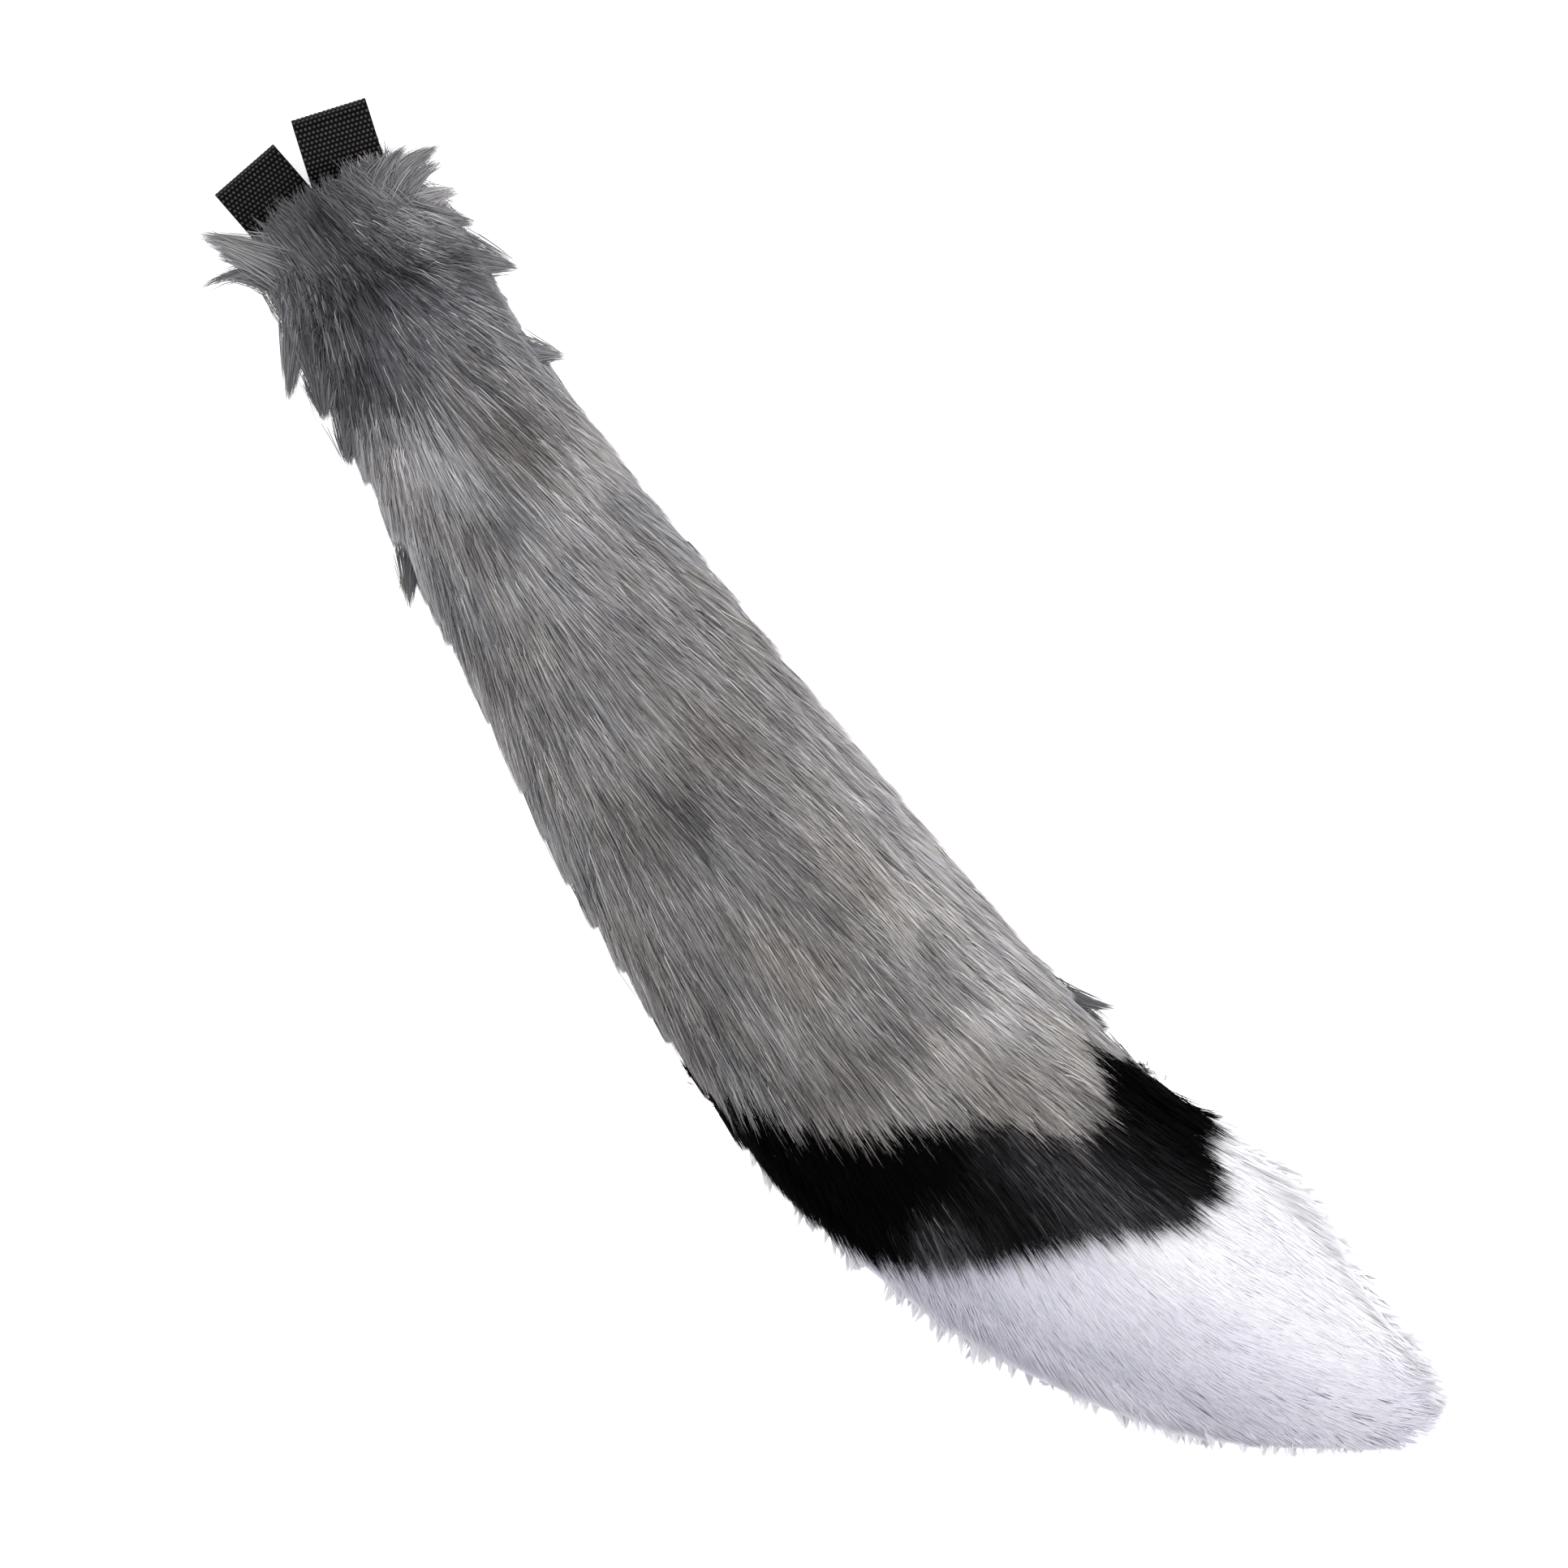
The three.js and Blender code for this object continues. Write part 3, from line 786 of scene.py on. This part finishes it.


# Patches of the mottled grey: where each is and how wide and long it is, in millimetres, and how much
# paler or darker. The two darker ones at 216 mm, just under the edge of the flap, are painted shade from
# it.
grey_patches = (
    (24, 178, 14, 24, -0.16), (5, 180, 10, 14, 0.19), (-20, 168, 8, 14, 0.12), (30, 149, 16, 10, 0.2),
    (-18, 134, 10, 14, -0.08), (-4, 112, 12, 20, 0.02), (-12, 96, 10, 10, -0.08), (30, 100, 14, 30, 0.04),
    (-20, 50, 14, 14, -0.03), (-13, 45, 7, 16, -0.16), (8, 34, 14, 20, -0.04), (-48, -8, 12, 20, -0.06),
    (-26, -30, 16, 18, 0.06), (20, -34, 14, 22, 0.1), (30, -64, 14, 40, 0.15), (-32, -56, 22, 10, -0.1),
    (20, -100, 14, 16, 0.1), (47, 238, 12, 14, 0.3), (2, 244, 8, 14, 0.16), (-8, 188, 8, 12, 0.04),
    (2, 206, 16, 12, -0.1), (-4, 137, 14, 8, 0.16), (40, -16, 11, 14, 0.11), (14, -24, 10, 10, 0.05),
    (-2, -78, 26, 10, 0.05), (43, 32, 8, 14, 0.08), (30, -120, 10, 10, -0.08), (1, 216, 11, 10, -0.18),
    (-12, 78, 30, 12, 0.05), (18, 12, 22, 12, 0.06), (3, 151, 10, 10, -0.16), (6, 186, 9, 10, 0.07),
    (40, 216, 10, 10, -0.06), (30, 232, 8, 8, -0.05), (15, -23, 10, 10, 0.12), (31, -42, 11, 10, -0.16),
    (-2, 56, 20, 10, -0.06), (22, 34, 14, 12, 0.08), (0, -72, 28, 7, 0.2), (22, -72, 8, 10, 0.08),
    (30, 96, 10, 14, -0.06), (-56, -20, 10, 20, -0.07), (22, 187, 18, 8, 0.06), (-36, 104, 8, 10, 0.07),
    (-26, 24, 14, 10, 0.1), (42, 136, 10, 10, -0.08), (-11, 200, 9, 9, 0.14),
)


# The level of the grey along its upper half
grey_along_at = [0.04, 0.08, 0.12, 0.16, 0.19, 0.21, 0.232, 0.26]
grey_along = [0, 0.03, 0.06, 0.09, 0.04, -0.02, -0.19, -0.17]


def grey_tone(hair):
    place, along = hair["root"], hair["along"]
    side = np.clip(side_of(place, along), -1, 1)
    right, left = np.clip(side, 0, 1), np.clip(-side, 0, 1)
    y = place[:, 1]
    # Both flanks are painted paler: the right one as painted light on the lamp's side, and the left one as
    # painted light that lifts the shade the lamp leaves there.
    tone = 0.45 + np.interp(y, [-0.04, 0.02, 0.06], [0.12, 0.1, 0.06]) * right**2 + 0.12 * left**4
    tone = tone + np.interp(y, [-0.08, -0.04, 0.04, 0.08], [0.04, 0.18, 0.18, 0.08]) * right**5
    tone = tone + np.interp(y, grey_along_at, grey_along)
    tone = tone + np.interp(y, [-0.05, -0.02, 0.09, 0.13], [0, 0.035, 0.045, 0]) * left
    tone = tone + np.interp(y, [-0.03, 0.0, 0.07, 0.1], [0, 0.05, 0.07, 0]) * right**3
    for *patch, change in grey_patches:
        patch_x, patch_y, wide, long = (size / 1000 for size in patch)
        near = np.exp(-(((place[:, 0] - patch_x) / wide) ** 2) - ((y - patch_y) / long) ** 2)
        tone = tone + change * near
    tone = tone + 0.025 * drift(place, 0.03, 11) + 0.025 * drift(place, 0.008, 12, 3.5)
    # One hair in six is nearly black and one in eight is nearly white, which draws the fine streaks.
    chance = hair["chance"]
    odd = np.where(chance < 0.16, -0.2, 0) + np.where(chance > 0.88, 0.2, 0)
    return tone + odd + 0.015 * hair["tuft_tone"] + 0.045 * hair["lock_tone"] + 0.1 * hair["hair_tone"]


def grey_cool(hair):
    place = hair["root"]
    likely = np.interp(place[:, 1], [-0.1, 0.05, 0.16, 0.22], [0.2, 0.4, 0.6, 0.95])
    side = np.abs(side_of(place, hair["along"]))
    return np.mod(hair["chance"] * 7, 1) < likely + 0.25 * side**3 + 0.2 * drift(place, 0.03, 13)


grey_finish = pile_finish(
    "grey_pile",
    warm=ramp_of((0.0, 36, 34, 34), (0.35, 102, 98, 96), (0.62, 158, 153, 150), (1.0, 220, 215, 212)),
    cold=ramp_of((0.0, 34, 34, 39), (0.35, 96, 96, 101), (0.62, 154, 153, 156), (1.0, 216, 214, 219)),
    tip_gain=0.16,
    gloss=0.2,
)
grey_hair = grow(
    seed=21,
    hairs=168000,
    start=lambda angle: 0 * angle - 0.014,
    end=lambda angle: seen_edge(angle, grey_edge) - 0.046,
    length=grey_length,
    lift=grey_lift,
    tuft_size=0.0055,
    tuft_pull=grey_pull,
)
grey_spikes = flank_spikes(
    seed=22,
    count=110,
    start=lambda angle: 0 * angle + 0.09,
    end=lambda angle: seen_edge(angle, grey_edge) - 0.04,
    longest=0.02,
    outward=(4, 4),
    least=-0.0004,
    most=0.0009,
    broad=0.0016,
)
grey_hair = together(grey_hair, grey_spikes)
grey_hair_width = 0.00028
grey_tones = grey_tone(grey_hair)
grey_cools = grey_cool(grey_hair)
parted = np.quantile(grey_hair["root"][:, 1], [1 / 3, 2 / 3])
for piece_name, low_y, high_y in (
    ("grey_pile_lower", -1, parted[0]),
    ("grey_pile_middle", parted[0], parted[1]),
    ("grey_pile_upper", parted[1], 1),
):
    chosen = (grey_hair["root"][:, 1] >= low_y) & (grey_hair["root"][:, 1] < high_y)
    piece = ribbons(
        piece_name, grey_hair, grey_tones, grey_cools, grey_hair_width, grey_finish, keep=chosen
    )
    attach(piece, "root")

# The tufts of the upper end
# Longer tangled hairs at the flat upper end, which stand out past the two webbing loops and fold back over
# them, and the loose tufts that stick out of both flanks.
# Each has the place of its roots, the place that it bends toward, the place of its tip, the spread of its
# roots and of its tips, its hairs and its tone, in millimetres.
tufts = (
    ((7, 250, 26), (1, 264, 30), (-8.2, 277.8, 26), 3.0, 0.35, 300, 0.56),
    ((5, 250, 25), (-1, 262, 28), (-8, 268.5, 25), 3.0, 0.5, 200, 0.6),
    ((3, 249, 24), (-6, 262, 27), (-21, 264.4, 24), 1.0, 0.2, 40, 0.4),
    ((3, 248, 22), (-4, 259, 26), (-12.2, 262.6, 22), 2.6, 0.4, 220, 0.5),
    ((3, 247, 20), (-2, 253, 22), (-6.5, 255.5, 18), 2.0, 0.5, 120, 0.46),
    ((42, 246, 26), (50, 256, 32), (63.5, 254.2, 28), 2.6, 0.4, 190, 0.46),
    ((43, 245, 26), (57, 252, 31), (71.2, 247.6, 25), 3.0, 0.35, 260, 0.52),
    ((45, 243, 26), (57, 247, 30), (68.4, 242.8, 23), 2.6, 0.4, 190, 0.52),
    ((47, 239, 25), (56, 239, 28), (65.8, 231.8, 23), 3.2, 0.4, 240, 0.66),
    ((49, 232, 27), (56, 228, 29), (62.6, 220.4, 24), 3.0, 0.5, 200, 0.52),
    ((0, 236, 28), (-9, 229, 31), (-21.8, 216.8, 24), 2.8, 0.35, 420, 0.46),
    ((-4, 228, 30), (-9, 220, 31), (-12.8, 213.2, 26), 2.4, 0.4, 180, 0.4),
    ((-7, 217, 34), (-12, 211, 33), (-16.8, 203.8, 26), 2.8, 0.35, 240, 0.4),
    ((-11, 200, 36), (-16, 194, 35), (-20.3, 187.8, 28), 2.8, 0.5, 220, 0.44),
    ((-23, 156, 34), (-29, 148, 33), (-36.6, 139.6, 27), 2.2, 0.35, 130, 0.42),
    ((50, 216, 32), (57, 210, 32), (64.2, 199.8, 26), 3.6, 0.4, 320, 0.48),
    ((49, 226, 30), (55, 219, 31), (60.8, 213.6, 25), 3.0, 0.5, 220, 0.44),
    ((46, 180, 34), (51, 175, 34), (56.6, 168.2, 28), 2.8, 0.4, 190, 0.52),
    ((36, -84, 32), (43, -100, 30), (52.6, -110.6, 24), 2.6, 0.3, 240, 0.42),
    ((38, -92, 30), (42, -104, 28), (47, -114.5, 23), 2.4, 0.4, 160, 0.4),
)
tuft_shares = np.linspace(0, 1, 5)[:, None]


def tuft_hairs(rng, root, bend, tip, root_spread, tip_spread, count, stops=tuft_shares):
    """Hairs that bend from one place over a second toward a third, where they meet in a point."""
    spread = rng.normal(0, 1, (count, 3)) * (1.0, 1.0, 0.6)
    astray = np.where(rng.uniform(0, 1, (count, 1)) < 0.1, 1.8, 0.25)
    root = (np.array(root) + spread * root_spread) / 1000
    bend_spread = (root_spread + tip_spread) / 2
    bend = (np.array(bend) + spread * bend_spread + rng.normal(0, 0.7, (count, 3))) / 1000
    tip = (np.array(tip) + spread * tip_spread + rng.normal(0, 1, (count, 3)) * astray) / 1000
    reach = rng.uniform(0.6, 1.0, count)[:, None, None] * stops
    root, bend, tip = (point[:, None] for point in (root, bend, tip))
    return root * (1 - reach) ** 2 + bend * 2 * reach * (1 - reach) + tip * reach**2


rng = np.random.default_rng(51)
tuft_paths = np.concatenate([tuft_hairs(rng, *tuft[:6]) for tuft in tufts])
tuft_tones = np.concatenate([rng.normal(tuft[6] - 0.04, 0.07, tuft[5]) for tuft in tufts])
# The fringe along the end, in small locks: the upright ones lie up over the loops, and the rest are combed
# over toward the edge of the flap.
fringe_x = [-8, 0, 5.5, 11, 16, 21, 26, 32, 40, 49, 58]
fringe_y = [258, 263, 267, 266.5, 267.5, 269.5, 267, 264, 263, 262, 256]
fringe_tone = [0.66, 0.53, 0.37, 0.33, 0.29, 0.22, 0.2, 0.24, 0.33, 0.52, 0.6]
fringe_locks = 230
fringe_upright = 80
fringe_hairs = 20


def end_height(x, y):
    """How high the pile lies at the upper end, in millimetres."""
    along = along_at(np.asarray(y) / 1000)
    side = np.clip((np.asarray(x) / 1000 - middle_line(along)) / half_width(along), -0.98, 0.98)
    return skin(along, np.arccos(side))[..., 2] * 1000


for lock in range(fringe_locks):
    combed = lock >= fringe_upright
    x = rng.uniform(-3, 54)
    if combed:
        # The roots stand back from both corners of the end, and from the hollow between the loops.
        highest = np.interp(x, [-3, 5, 21.6, 24.6, 27.6, 43, 54], [249, 261, 261, 255, 261, 261, 248])
        root_y = rng.uniform(highest - 14, highest)
        tip_y = root_y - rng.uniform(13, 27)
        tip_x = 24.6 + (x - 24.6) * (1.08 if x < 24.6 else 1.3) + rng.normal(0, 2.5)
        flank_x = 1000 * skin(along_at(tip_y / 1000), math.pi)[0]
        tip_x = max(tip_x, flank_x + rng.uniform(0.5, 3))
        peak = (x * 0.5 + tip_x * 0.5 + rng.normal(0, 2), root_y + rng.uniform(1, 6))
        tip = (tip_x, tip_y, end_height(tip_x, tip_y) + rng.uniform(0.6, 2.6))
        root = (x, root_y, end_height(x, 250) + 1.5)
        bend = (*peak, end_height(x, 248) + rng.uniform(5, 9))
    else:
        line = np.interp(x, fringe_x, fringe_y) + rng.normal(0, 1.6)
        root_y = rng.uniform(247, 256)
        tip_x = x + 0.14 * (x - 24.6) + rng.normal(0, 2)
        root = (x, root_y, end_height(x, 250))
        bend = (x + rng.normal(0, 1.5), (root_y + line) / 2 + 1, end_height(x, 250) + rng.uniform(5, 8))
        tip = (tip_x, line, end_height(x, 250) + rng.uniform(2, 6))
    shade = np.interp(x, fringe_x, fringe_tone) + rng.normal(0, 0.05)
    if abs(x - 25) < 4.5 and root_y > 254:
        # Between the loops the fringe parts round a small hollow, whose hairs are painted nearly black as
        # the shade in it.
        shade = 0.06
    made = tuft_hairs(rng, root, bend, tip, 1.5, 0.9, fringe_hairs)
    tuft_paths = np.concatenate([tuft_paths, made])
    tuft_tones = np.concatenate([tuft_tones, rng.normal(shade, 0.08, fringe_hairs)])
tuft_count = len(tuft_paths)
tuft_hair = {
    "paths": tuft_paths,
    "run": unit(tuft_paths[:, -1] - tuft_paths[:, 0]),
    "out": np.tile([0.0, 0.0, 1.0], (tuft_count, 1)),
    "roll": rng.uniform(-1.15, 1.15, tuft_count),
}
tuft_cools = rng.uniform(0, 1, tuft_count) < 0.8
tuft_hair_width = 0.00032
end_tufts = ribbons("grey_end_tufts", tuft_hair, tuft_tones, tuft_cools, tuft_hair_width, grey_finish)
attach(end_tufts, "root")

# The black band
# The same fabric in black, sewn to the grey along a slanted seam that the grey pile hangs over.
black_backing = backing(
    "black_backing",
    undercoat("black_undercoat", paint(4, 4, 6), paint(16, 15, 18)),
    start=lambda angle: grey_end(angle) - tucked_in,
    end=lambda angle: black_end(angle) + seam_allowance,
    off=-0.0016,
    rings=30,
)
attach(black_backing, "root")
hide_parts("fur_band_black")

black_finish = pile_finish(
    "black_pile",
    warm=ramp_of((0.0, 0, 0, 0), (0.3, 2, 2, 2), (0.6, 36, 34, 34), (1.0, 104, 101, 100)),
    cold=ramp_of((0.0, 0, 0, 0), (0.3, 2, 2, 3), (0.6, 34, 33, 38), (1.0, 100, 99, 107)),
    tip_gain=0.1,
    gloss=0.03,
)


def black_tone(hair):
    place, along = hair["root"], hair["along"]
    side = np.clip(side_of(place, along), -1, 1)
    # The paler band a little right of the middle, and the one on the left flank near the white, are painted
    # sheen: the hairs there get a lighter tone.
    sheen = np.exp(-(((side - 0.18) / np.where(side < 0.18, 0.3, 0.48)) ** 2))
    sheen = sheen * np.interp(along, [0.6, 0.68, 0.8], [0, 1, 1.16])
    left_sheen = np.exp(-(((side + 0.5) / 0.26) ** 2)) * np.interp(along, [0.665, 0.69], [0, 1])
    sheen = sheen + 1.15 * left_sheen
    return 0.12 + 0.5 * sheen + (0.03 + 0.06 * sheen) * (hair["lock_tone"] + hair["hair_tone"])


black_hair = grow(
    seed=31,
    hairs=42000,
    start=lambda angle: seen_edge(angle, grey_edge) - 0.04,
    end=lambda angle: seen_edge(angle, black_edge) - 0.048,
    length=lambda place, along: 0 * along + 0.028,
    lift=lambda place, along: 0 * along + 0.0042,
    tuft_size=0.0055,
    tuft_pull=grey_pull,
)
black_spikes = flank_spikes(
    seed=32,
    count=46,
    start=lambda angle: seen_edge(angle, grey_edge) - 0.03,
    end=lambda angle: seen_edge(angle, black_edge) - 0.046,
    longest=0.018,
    outward=(6, 4),
    least=-0.0002,
    most=0.0014,
    broad=0.0016,
)
black_hair = together(black_hair, black_spikes)
# Four longer tufts stand out of the right flank.
rng = np.random.default_rng(33)
for black_tuft in (
    ((34, -114, 32), (41, -126, 30), (48.6, -135.6, 24), 2.2, 0.3, 220),
    ((34, -120, 30), (41, -132, 28), (46.8, -140.8, 23), 2.0, 0.4, 160),
    ((37, -139, 30), (46, -151, 28), (56.2, -161.3, 22), 2.4, 0.35, 380),
    ((37, -147, 28), (46, -158, 26), (55.4, -167, 20), 2.4, 0.4, 280),
):
    paths = tuft_hairs(rng, *black_tuft, stops=shares[:, None])
    black_hair = together(black_hair, as_hairs(rng, paths, np.tile([0.0, 0.0, 1.0], (len(paths), 1))))
black_cools = black_hair["chance"] < 0.5
black_hair_width = 0.00036
black_pile = ribbons(
    "black_pile", black_hair, black_tone(black_hair), black_cools, black_hair_width, black_finish
)
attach(black_pile, "root")

# The white tip
# The same fabric in white, which closes to a rounded point. Its pile lies smooth in the middle, and stands
# out in short spikes along both edges.
white_off = np.interp(np.linspace(0, 1, 50), [0.12, 0.3], [-0.0016, -0.0003])[:, None]
white_backing = backing(
    "white_backing",
    undercoat("white_undercoat", paint(198, 197, 208), paint(218, 217, 225)),
    start=lambda angle: black_end(angle) - tucked_in,
    end=lambda angle: 0 * angle + 1.0,
    off=white_off,
    rings=50,
)
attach(white_backing, "root")
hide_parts("fur_tip_white")

white_finish = pile_finish(
    "white_pile",
    warm=ramp_of((0.0, 170, 168, 179), (0.5, 209, 207, 214), (1.0, 241, 240, 241)),
    cold=ramp_of((0.0, 167, 167, 183), (0.5, 206, 205, 217), (1.0, 239, 239, 243)),
    tip_gain=0.1,
    gloss=0.2,
)


# The level of the white across the tail, from its left flank to its right one: lower over the left half as
# painted shade, higher toward the right as painted light, and paler again at the far left edge
white_at = [-1.05, -0.97, -0.9, -0.78, -0.65, -0.52, -0.39, -0.26, -0.13, 0.0, 0.25, 0.45, 0.65, 0.8, 0.95]
white_light_and_shade = [0.95, 0.9, 0.72, 0.46, 0.26, 0.3, 0.35, 0.44, 0.48, 0.55, 0.66, 0.67, 0.68, 0.82, 0.92]


def white_tone(hair):
    place, along = hair["root"], hair["along"]
    side = np.clip(side_of(place, along), -1, 1)
    tone = np.interp(side, white_at, white_light_and_shade)
    left, right = np.clip(-1.6 * side, 0, 1), np.clip(2 * side, 0, 1)
    y = place[:, 1]
    # Near the rounded end the left side is painted paler, as painted light that lifts the shade there, and
    # the right side darker as painted shade.
    left_change = [0.3, 0.2, 0.0, -0.06, 0, -0.16]
    tone = tone + np.interp(y, [-0.275, -0.262, -0.24, -0.224, -0.2, -0.18], left_change) * left
    tone = tone + np.interp(y, [-0.275, -0.262, -0.24, -0.2], [-0.24, -0.18, -0.04, 0]) * right
    tone = tone + np.interp(y, [-0.185, -0.17], [0, 0.1]) * np.clip(3 - 4 * np.abs(side), 0, 1)
    return tone + 0.04 * drift(place, 0.03, 15) + 0.01 * hair["lock_tone"] + 0.015 * hair["hair_tone"]


def white_length(place, along):
    return np.interp(along, [0.8, 0.92, 1.0], [0.027, 0.02, 0.013])


def white_pull(place, along):
    return grey_pull(place, along) * np.interp(along, [0.88, 0.98], [1.0, 0.3])


def white_lift(place, along):
    side = np.abs(side_of(place, along))
    return np.interp(side, [0.5, 0.95], [0.0005, 0.0014])


white_hair = grow(
    seed=41,
    hairs=57000,
    start=lambda angle: seen_edge(angle, black_edge) - 0.042,
    end=lambda angle: 0 * angle + 1.0,
    length=white_length,
    lift=white_lift,
    tuft_size=0.0042,
    tuft_pull=white_pull,
    held=0.0016,
)
white_spikes = flank_spikes(
    seed=42,
    count=250,
    start=lambda angle: seen_edge(angle, black_edge) - 0.02,
    end=lambda angle: 0 * angle + 0.995,
    longest=0.015,
    outward=(28, 6),
    least=0.0008,
    most=0.004,
    broad=0.0009,
    shortest=0.78,
)
# The spikes of the left flank are painted paler, as painted light that lifts the shade falling on them.
spike_left = side_of(white_spikes["root"], white_spikes["along"]) < 0
spike_tones = white_tone(white_spikes) + np.where(spike_left, 0.14, 0)
white_tones = np.concatenate([white_tone(white_hair), spike_tones])
white_hair = together(white_hair, white_spikes)
# The white hairs lie flat, side by side, so that they shade each other little.
white_hair["roll"] = white_hair["roll"] * 0.35
white_cools = white_hair["chance"] < 0.5
white_hair_width = 0.00046
white_pile = ribbons(
    "white_pile", white_hair, white_tones, white_cools, white_hair_width, white_finish, crisp=0.04
)
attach(white_pile, "root")

# The belt loops
# Two strips of 1 inch black nylon webbing, about 1.6 mm thick, each folded once so that a belt passes
# through the fold, with both ends sewn into the upper end. The weave shows as rows of small raised dots,
# whose tops carry a painted sheen.
webbing_width = 0.0254
webbing_thickness = 0.0016
eye_length = 0.04
eye_height = 0.008
eye_pinch = 0.014
sewn_depth = 0.012
loop_pitch = 3.0
yarns = 34
row_pitch = 0.00152
weave_height = 0.00024
sewn_height = body_height * (0.07 + 0.3 / 2)


def half_opening(distance):
    share = np.clip((distance - eye_pinch) / eye_pinch, 0, 1)
    share = share * share * (3 - 2 * share)
    return 0.2 * webbing_thickness + (eye_height / 2 - 0.2 * webbing_thickness) * share


def strip_path():
    """The middle of the strip from one sewn end, round the fold, to the other, in even rows."""
    bend = eye_length - eye_height / 2
    along = np.linspace(-sewn_depth, bend, 90)
    away = half_opening(np.maximum(along, 0)) + webbing_thickness / 2
    turn = np.linspace(-math.pi / 2, math.pi / 2, 30)[1:-1]
    round_fold = np.stack([bend + away[-1] * np.cos(turn), away[-1] * np.sin(turn)], 1)
    path = np.concatenate([np.stack([along, -away], 1), round_fold, np.stack([along, away], 1)[::-1]])
    walked = np.concatenate([[0], np.cumsum(np.linalg.norm(np.diff(path, axis=0), axis=1))])
    rows = int(walked[-1] / row_pitch)
    at = np.linspace(0, walked[-1], rows * 3 + 1)
    return np.stack([np.interp(at, walked, path[:, 0]), np.interp(at, walked, path[:, 1])], 1)


def belt_loop(name, side, turn, finish):
    path = strip_path()
    stations = len(path)
    forward = unit(np.gradient(path, axis=0))
    # Out of the loop's eye is to the right of the way along the strip.
    outward = np.stack([forward[:, 1], -forward[:, 0]], 1)
    across = np.linspace(-0.5, 0.5, yarns * 2 + 1)
    column, row = np.arange(yarns * 2 + 1), np.arange(stations)[:, None]
    # Each row is a line of raised dashes, and the next one is shifted by half their pitch.
    dash = np.array([0.0, 0.8, 1.0, 0.8])[(column + 2 * (row // 3 % 2)) % 4]
    raised = dash * np.where(row % 3 == 0, 0.0, 1.0)
    raised = np.where((column == 0) | (column == yarns * 2), 0.4, raised)
    half = webbing_thickness / 2 - weave_height
    rings = []
    lifts = []
    for s in range(stations):
        outer = [(x, half + weave_height * r) for x, r in zip(across, raised[s])]
        inner = [(x, -half - weave_height * 0.5) for x in (0.5, 0.25, 0.0, -0.25, -0.5)]
        rings.append([(x * webbing_width, *(path[s] + outward[s] * h)) for x, h in outer + inner])
        lifts.append(list(raised[s]) + [0.4] * len(inner))
    count = len(rings[0])
    points = np.array(rings).reshape(-1, 3)
    pitch, spin = math.radians(side * loop_pitch), math.radians(turn)
    y = points[:, 1] * math.cos(pitch) - points[:, 2] * math.sin(pitch)
    z = points[:, 1] * math.sin(pitch) + points[:, 2] * math.cos(pitch)
    x = points[:, 0]
    stack_step = webbing_thickness * 1.2 + 0.00015 + sewn_depth * math.sin(math.radians(loop_pitch))
    seat_x = middle_x + side * loop_spacing / 2
    seat_y = middle_y + body_length / 2 - loop_inset
    seat_z = sewn_height + side * stack_step
    points = np.stack(
        [
            seat_x + x * math.cos(spin) + y * math.sin(spin),
            seat_y - x * math.sin(spin) + y * math.cos(spin),
            seat_z + z,
        ],
        1,
    )
    faces = walls_of(stations, count)
    faces.append(tuple(range(count))[::-1])
    faces.append(tuple((stations - 1) * count + i for i in range(count)))
    mesh = smooth_mesh(name, points, faces)
    # How raised each point of the weave is, which the finish paints as a paler sheen on the raised tops.
    tell(mesh, "raised", lifts)
    # The weave repeats, so twelve rows of it share one patch of the map.
    corners = np.zeros(len(mesh.loops), np.int32)
    mesh.loops.foreach_get("vertex_index", corners)
    side_share = np.arange(count) / count
    u = 0.01 + 0.98 * side_share[corners % count]
    first_row = np.repeat(np.arange(stations - 1), count * 4)
    v = (corners[: len(first_row)] // count - first_row + first_row % 36) / 36
    walls = len(first_row)
    last_face = np.arange(walls) // 4 % count == count - 1
    u[:walls][(corners[:walls] % count == 0) & last_face] = 0.99
    v = np.concatenate([v, np.zeros(len(corners) - len(v))])
    unwrap(mesh, u, 0.01 + 0.98 * v)
    return placed(name, mesh, finish)


webbing_finish = Finish("black_webbing")
raised_yarn_sheen = webbing_finish.attribute("raised")
on_weave = webbing_finish.node("ShaderNodeUVMap", {"uv_map": "OFBake"}, {})[0]
fibres = webbing_finish.node("ShaderNodeMapping", {}, {"Vector": on_weave, "Scale": (260.0, 40.0, 1.0)})[0]
fibre = webbing_finish.noise(fibres, 1.0, 2.0)
worn = webbing_finish.noise(on_weave, 9.0, 2.0)
# The raised tops of the weave are painted paler, a painted sheen, with the fibres and wear varying it.
yarn_colour = webbing_finish.ramp(
    ramp_of((0.2, 1, 1, 1), (0.5, 10, 9, 10), (0.85, 82, 78, 81)),
    raised_yarn_sheen * 0.75 + fibre * 0.3 + worn * 0.2 - 0.2,
)
yarn_bump = {"Height": fibre, "Distance": 0.0001, "Strength": 0.6}
yarn_relief = webbing_finish.node("ShaderNodeBump", {}, yarn_bump)[0]
webbing_finish.surface(Base_Color=yarn_colour, Roughness=0.55, Normal=yarn_relief, Specular_IOR_Level=0.05)
for loop_name, node_name, side, turn in (
    ("webbing_loop_left", "belt_loop_left", -1, 0.0),
    ("webbing_loop_right", "belt_loop_right", 1, 23.7),
):
    loop = belt_loop(loop_name, side, turn, webbing_finish.material)
    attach(loop, "root")
    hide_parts(node_name)
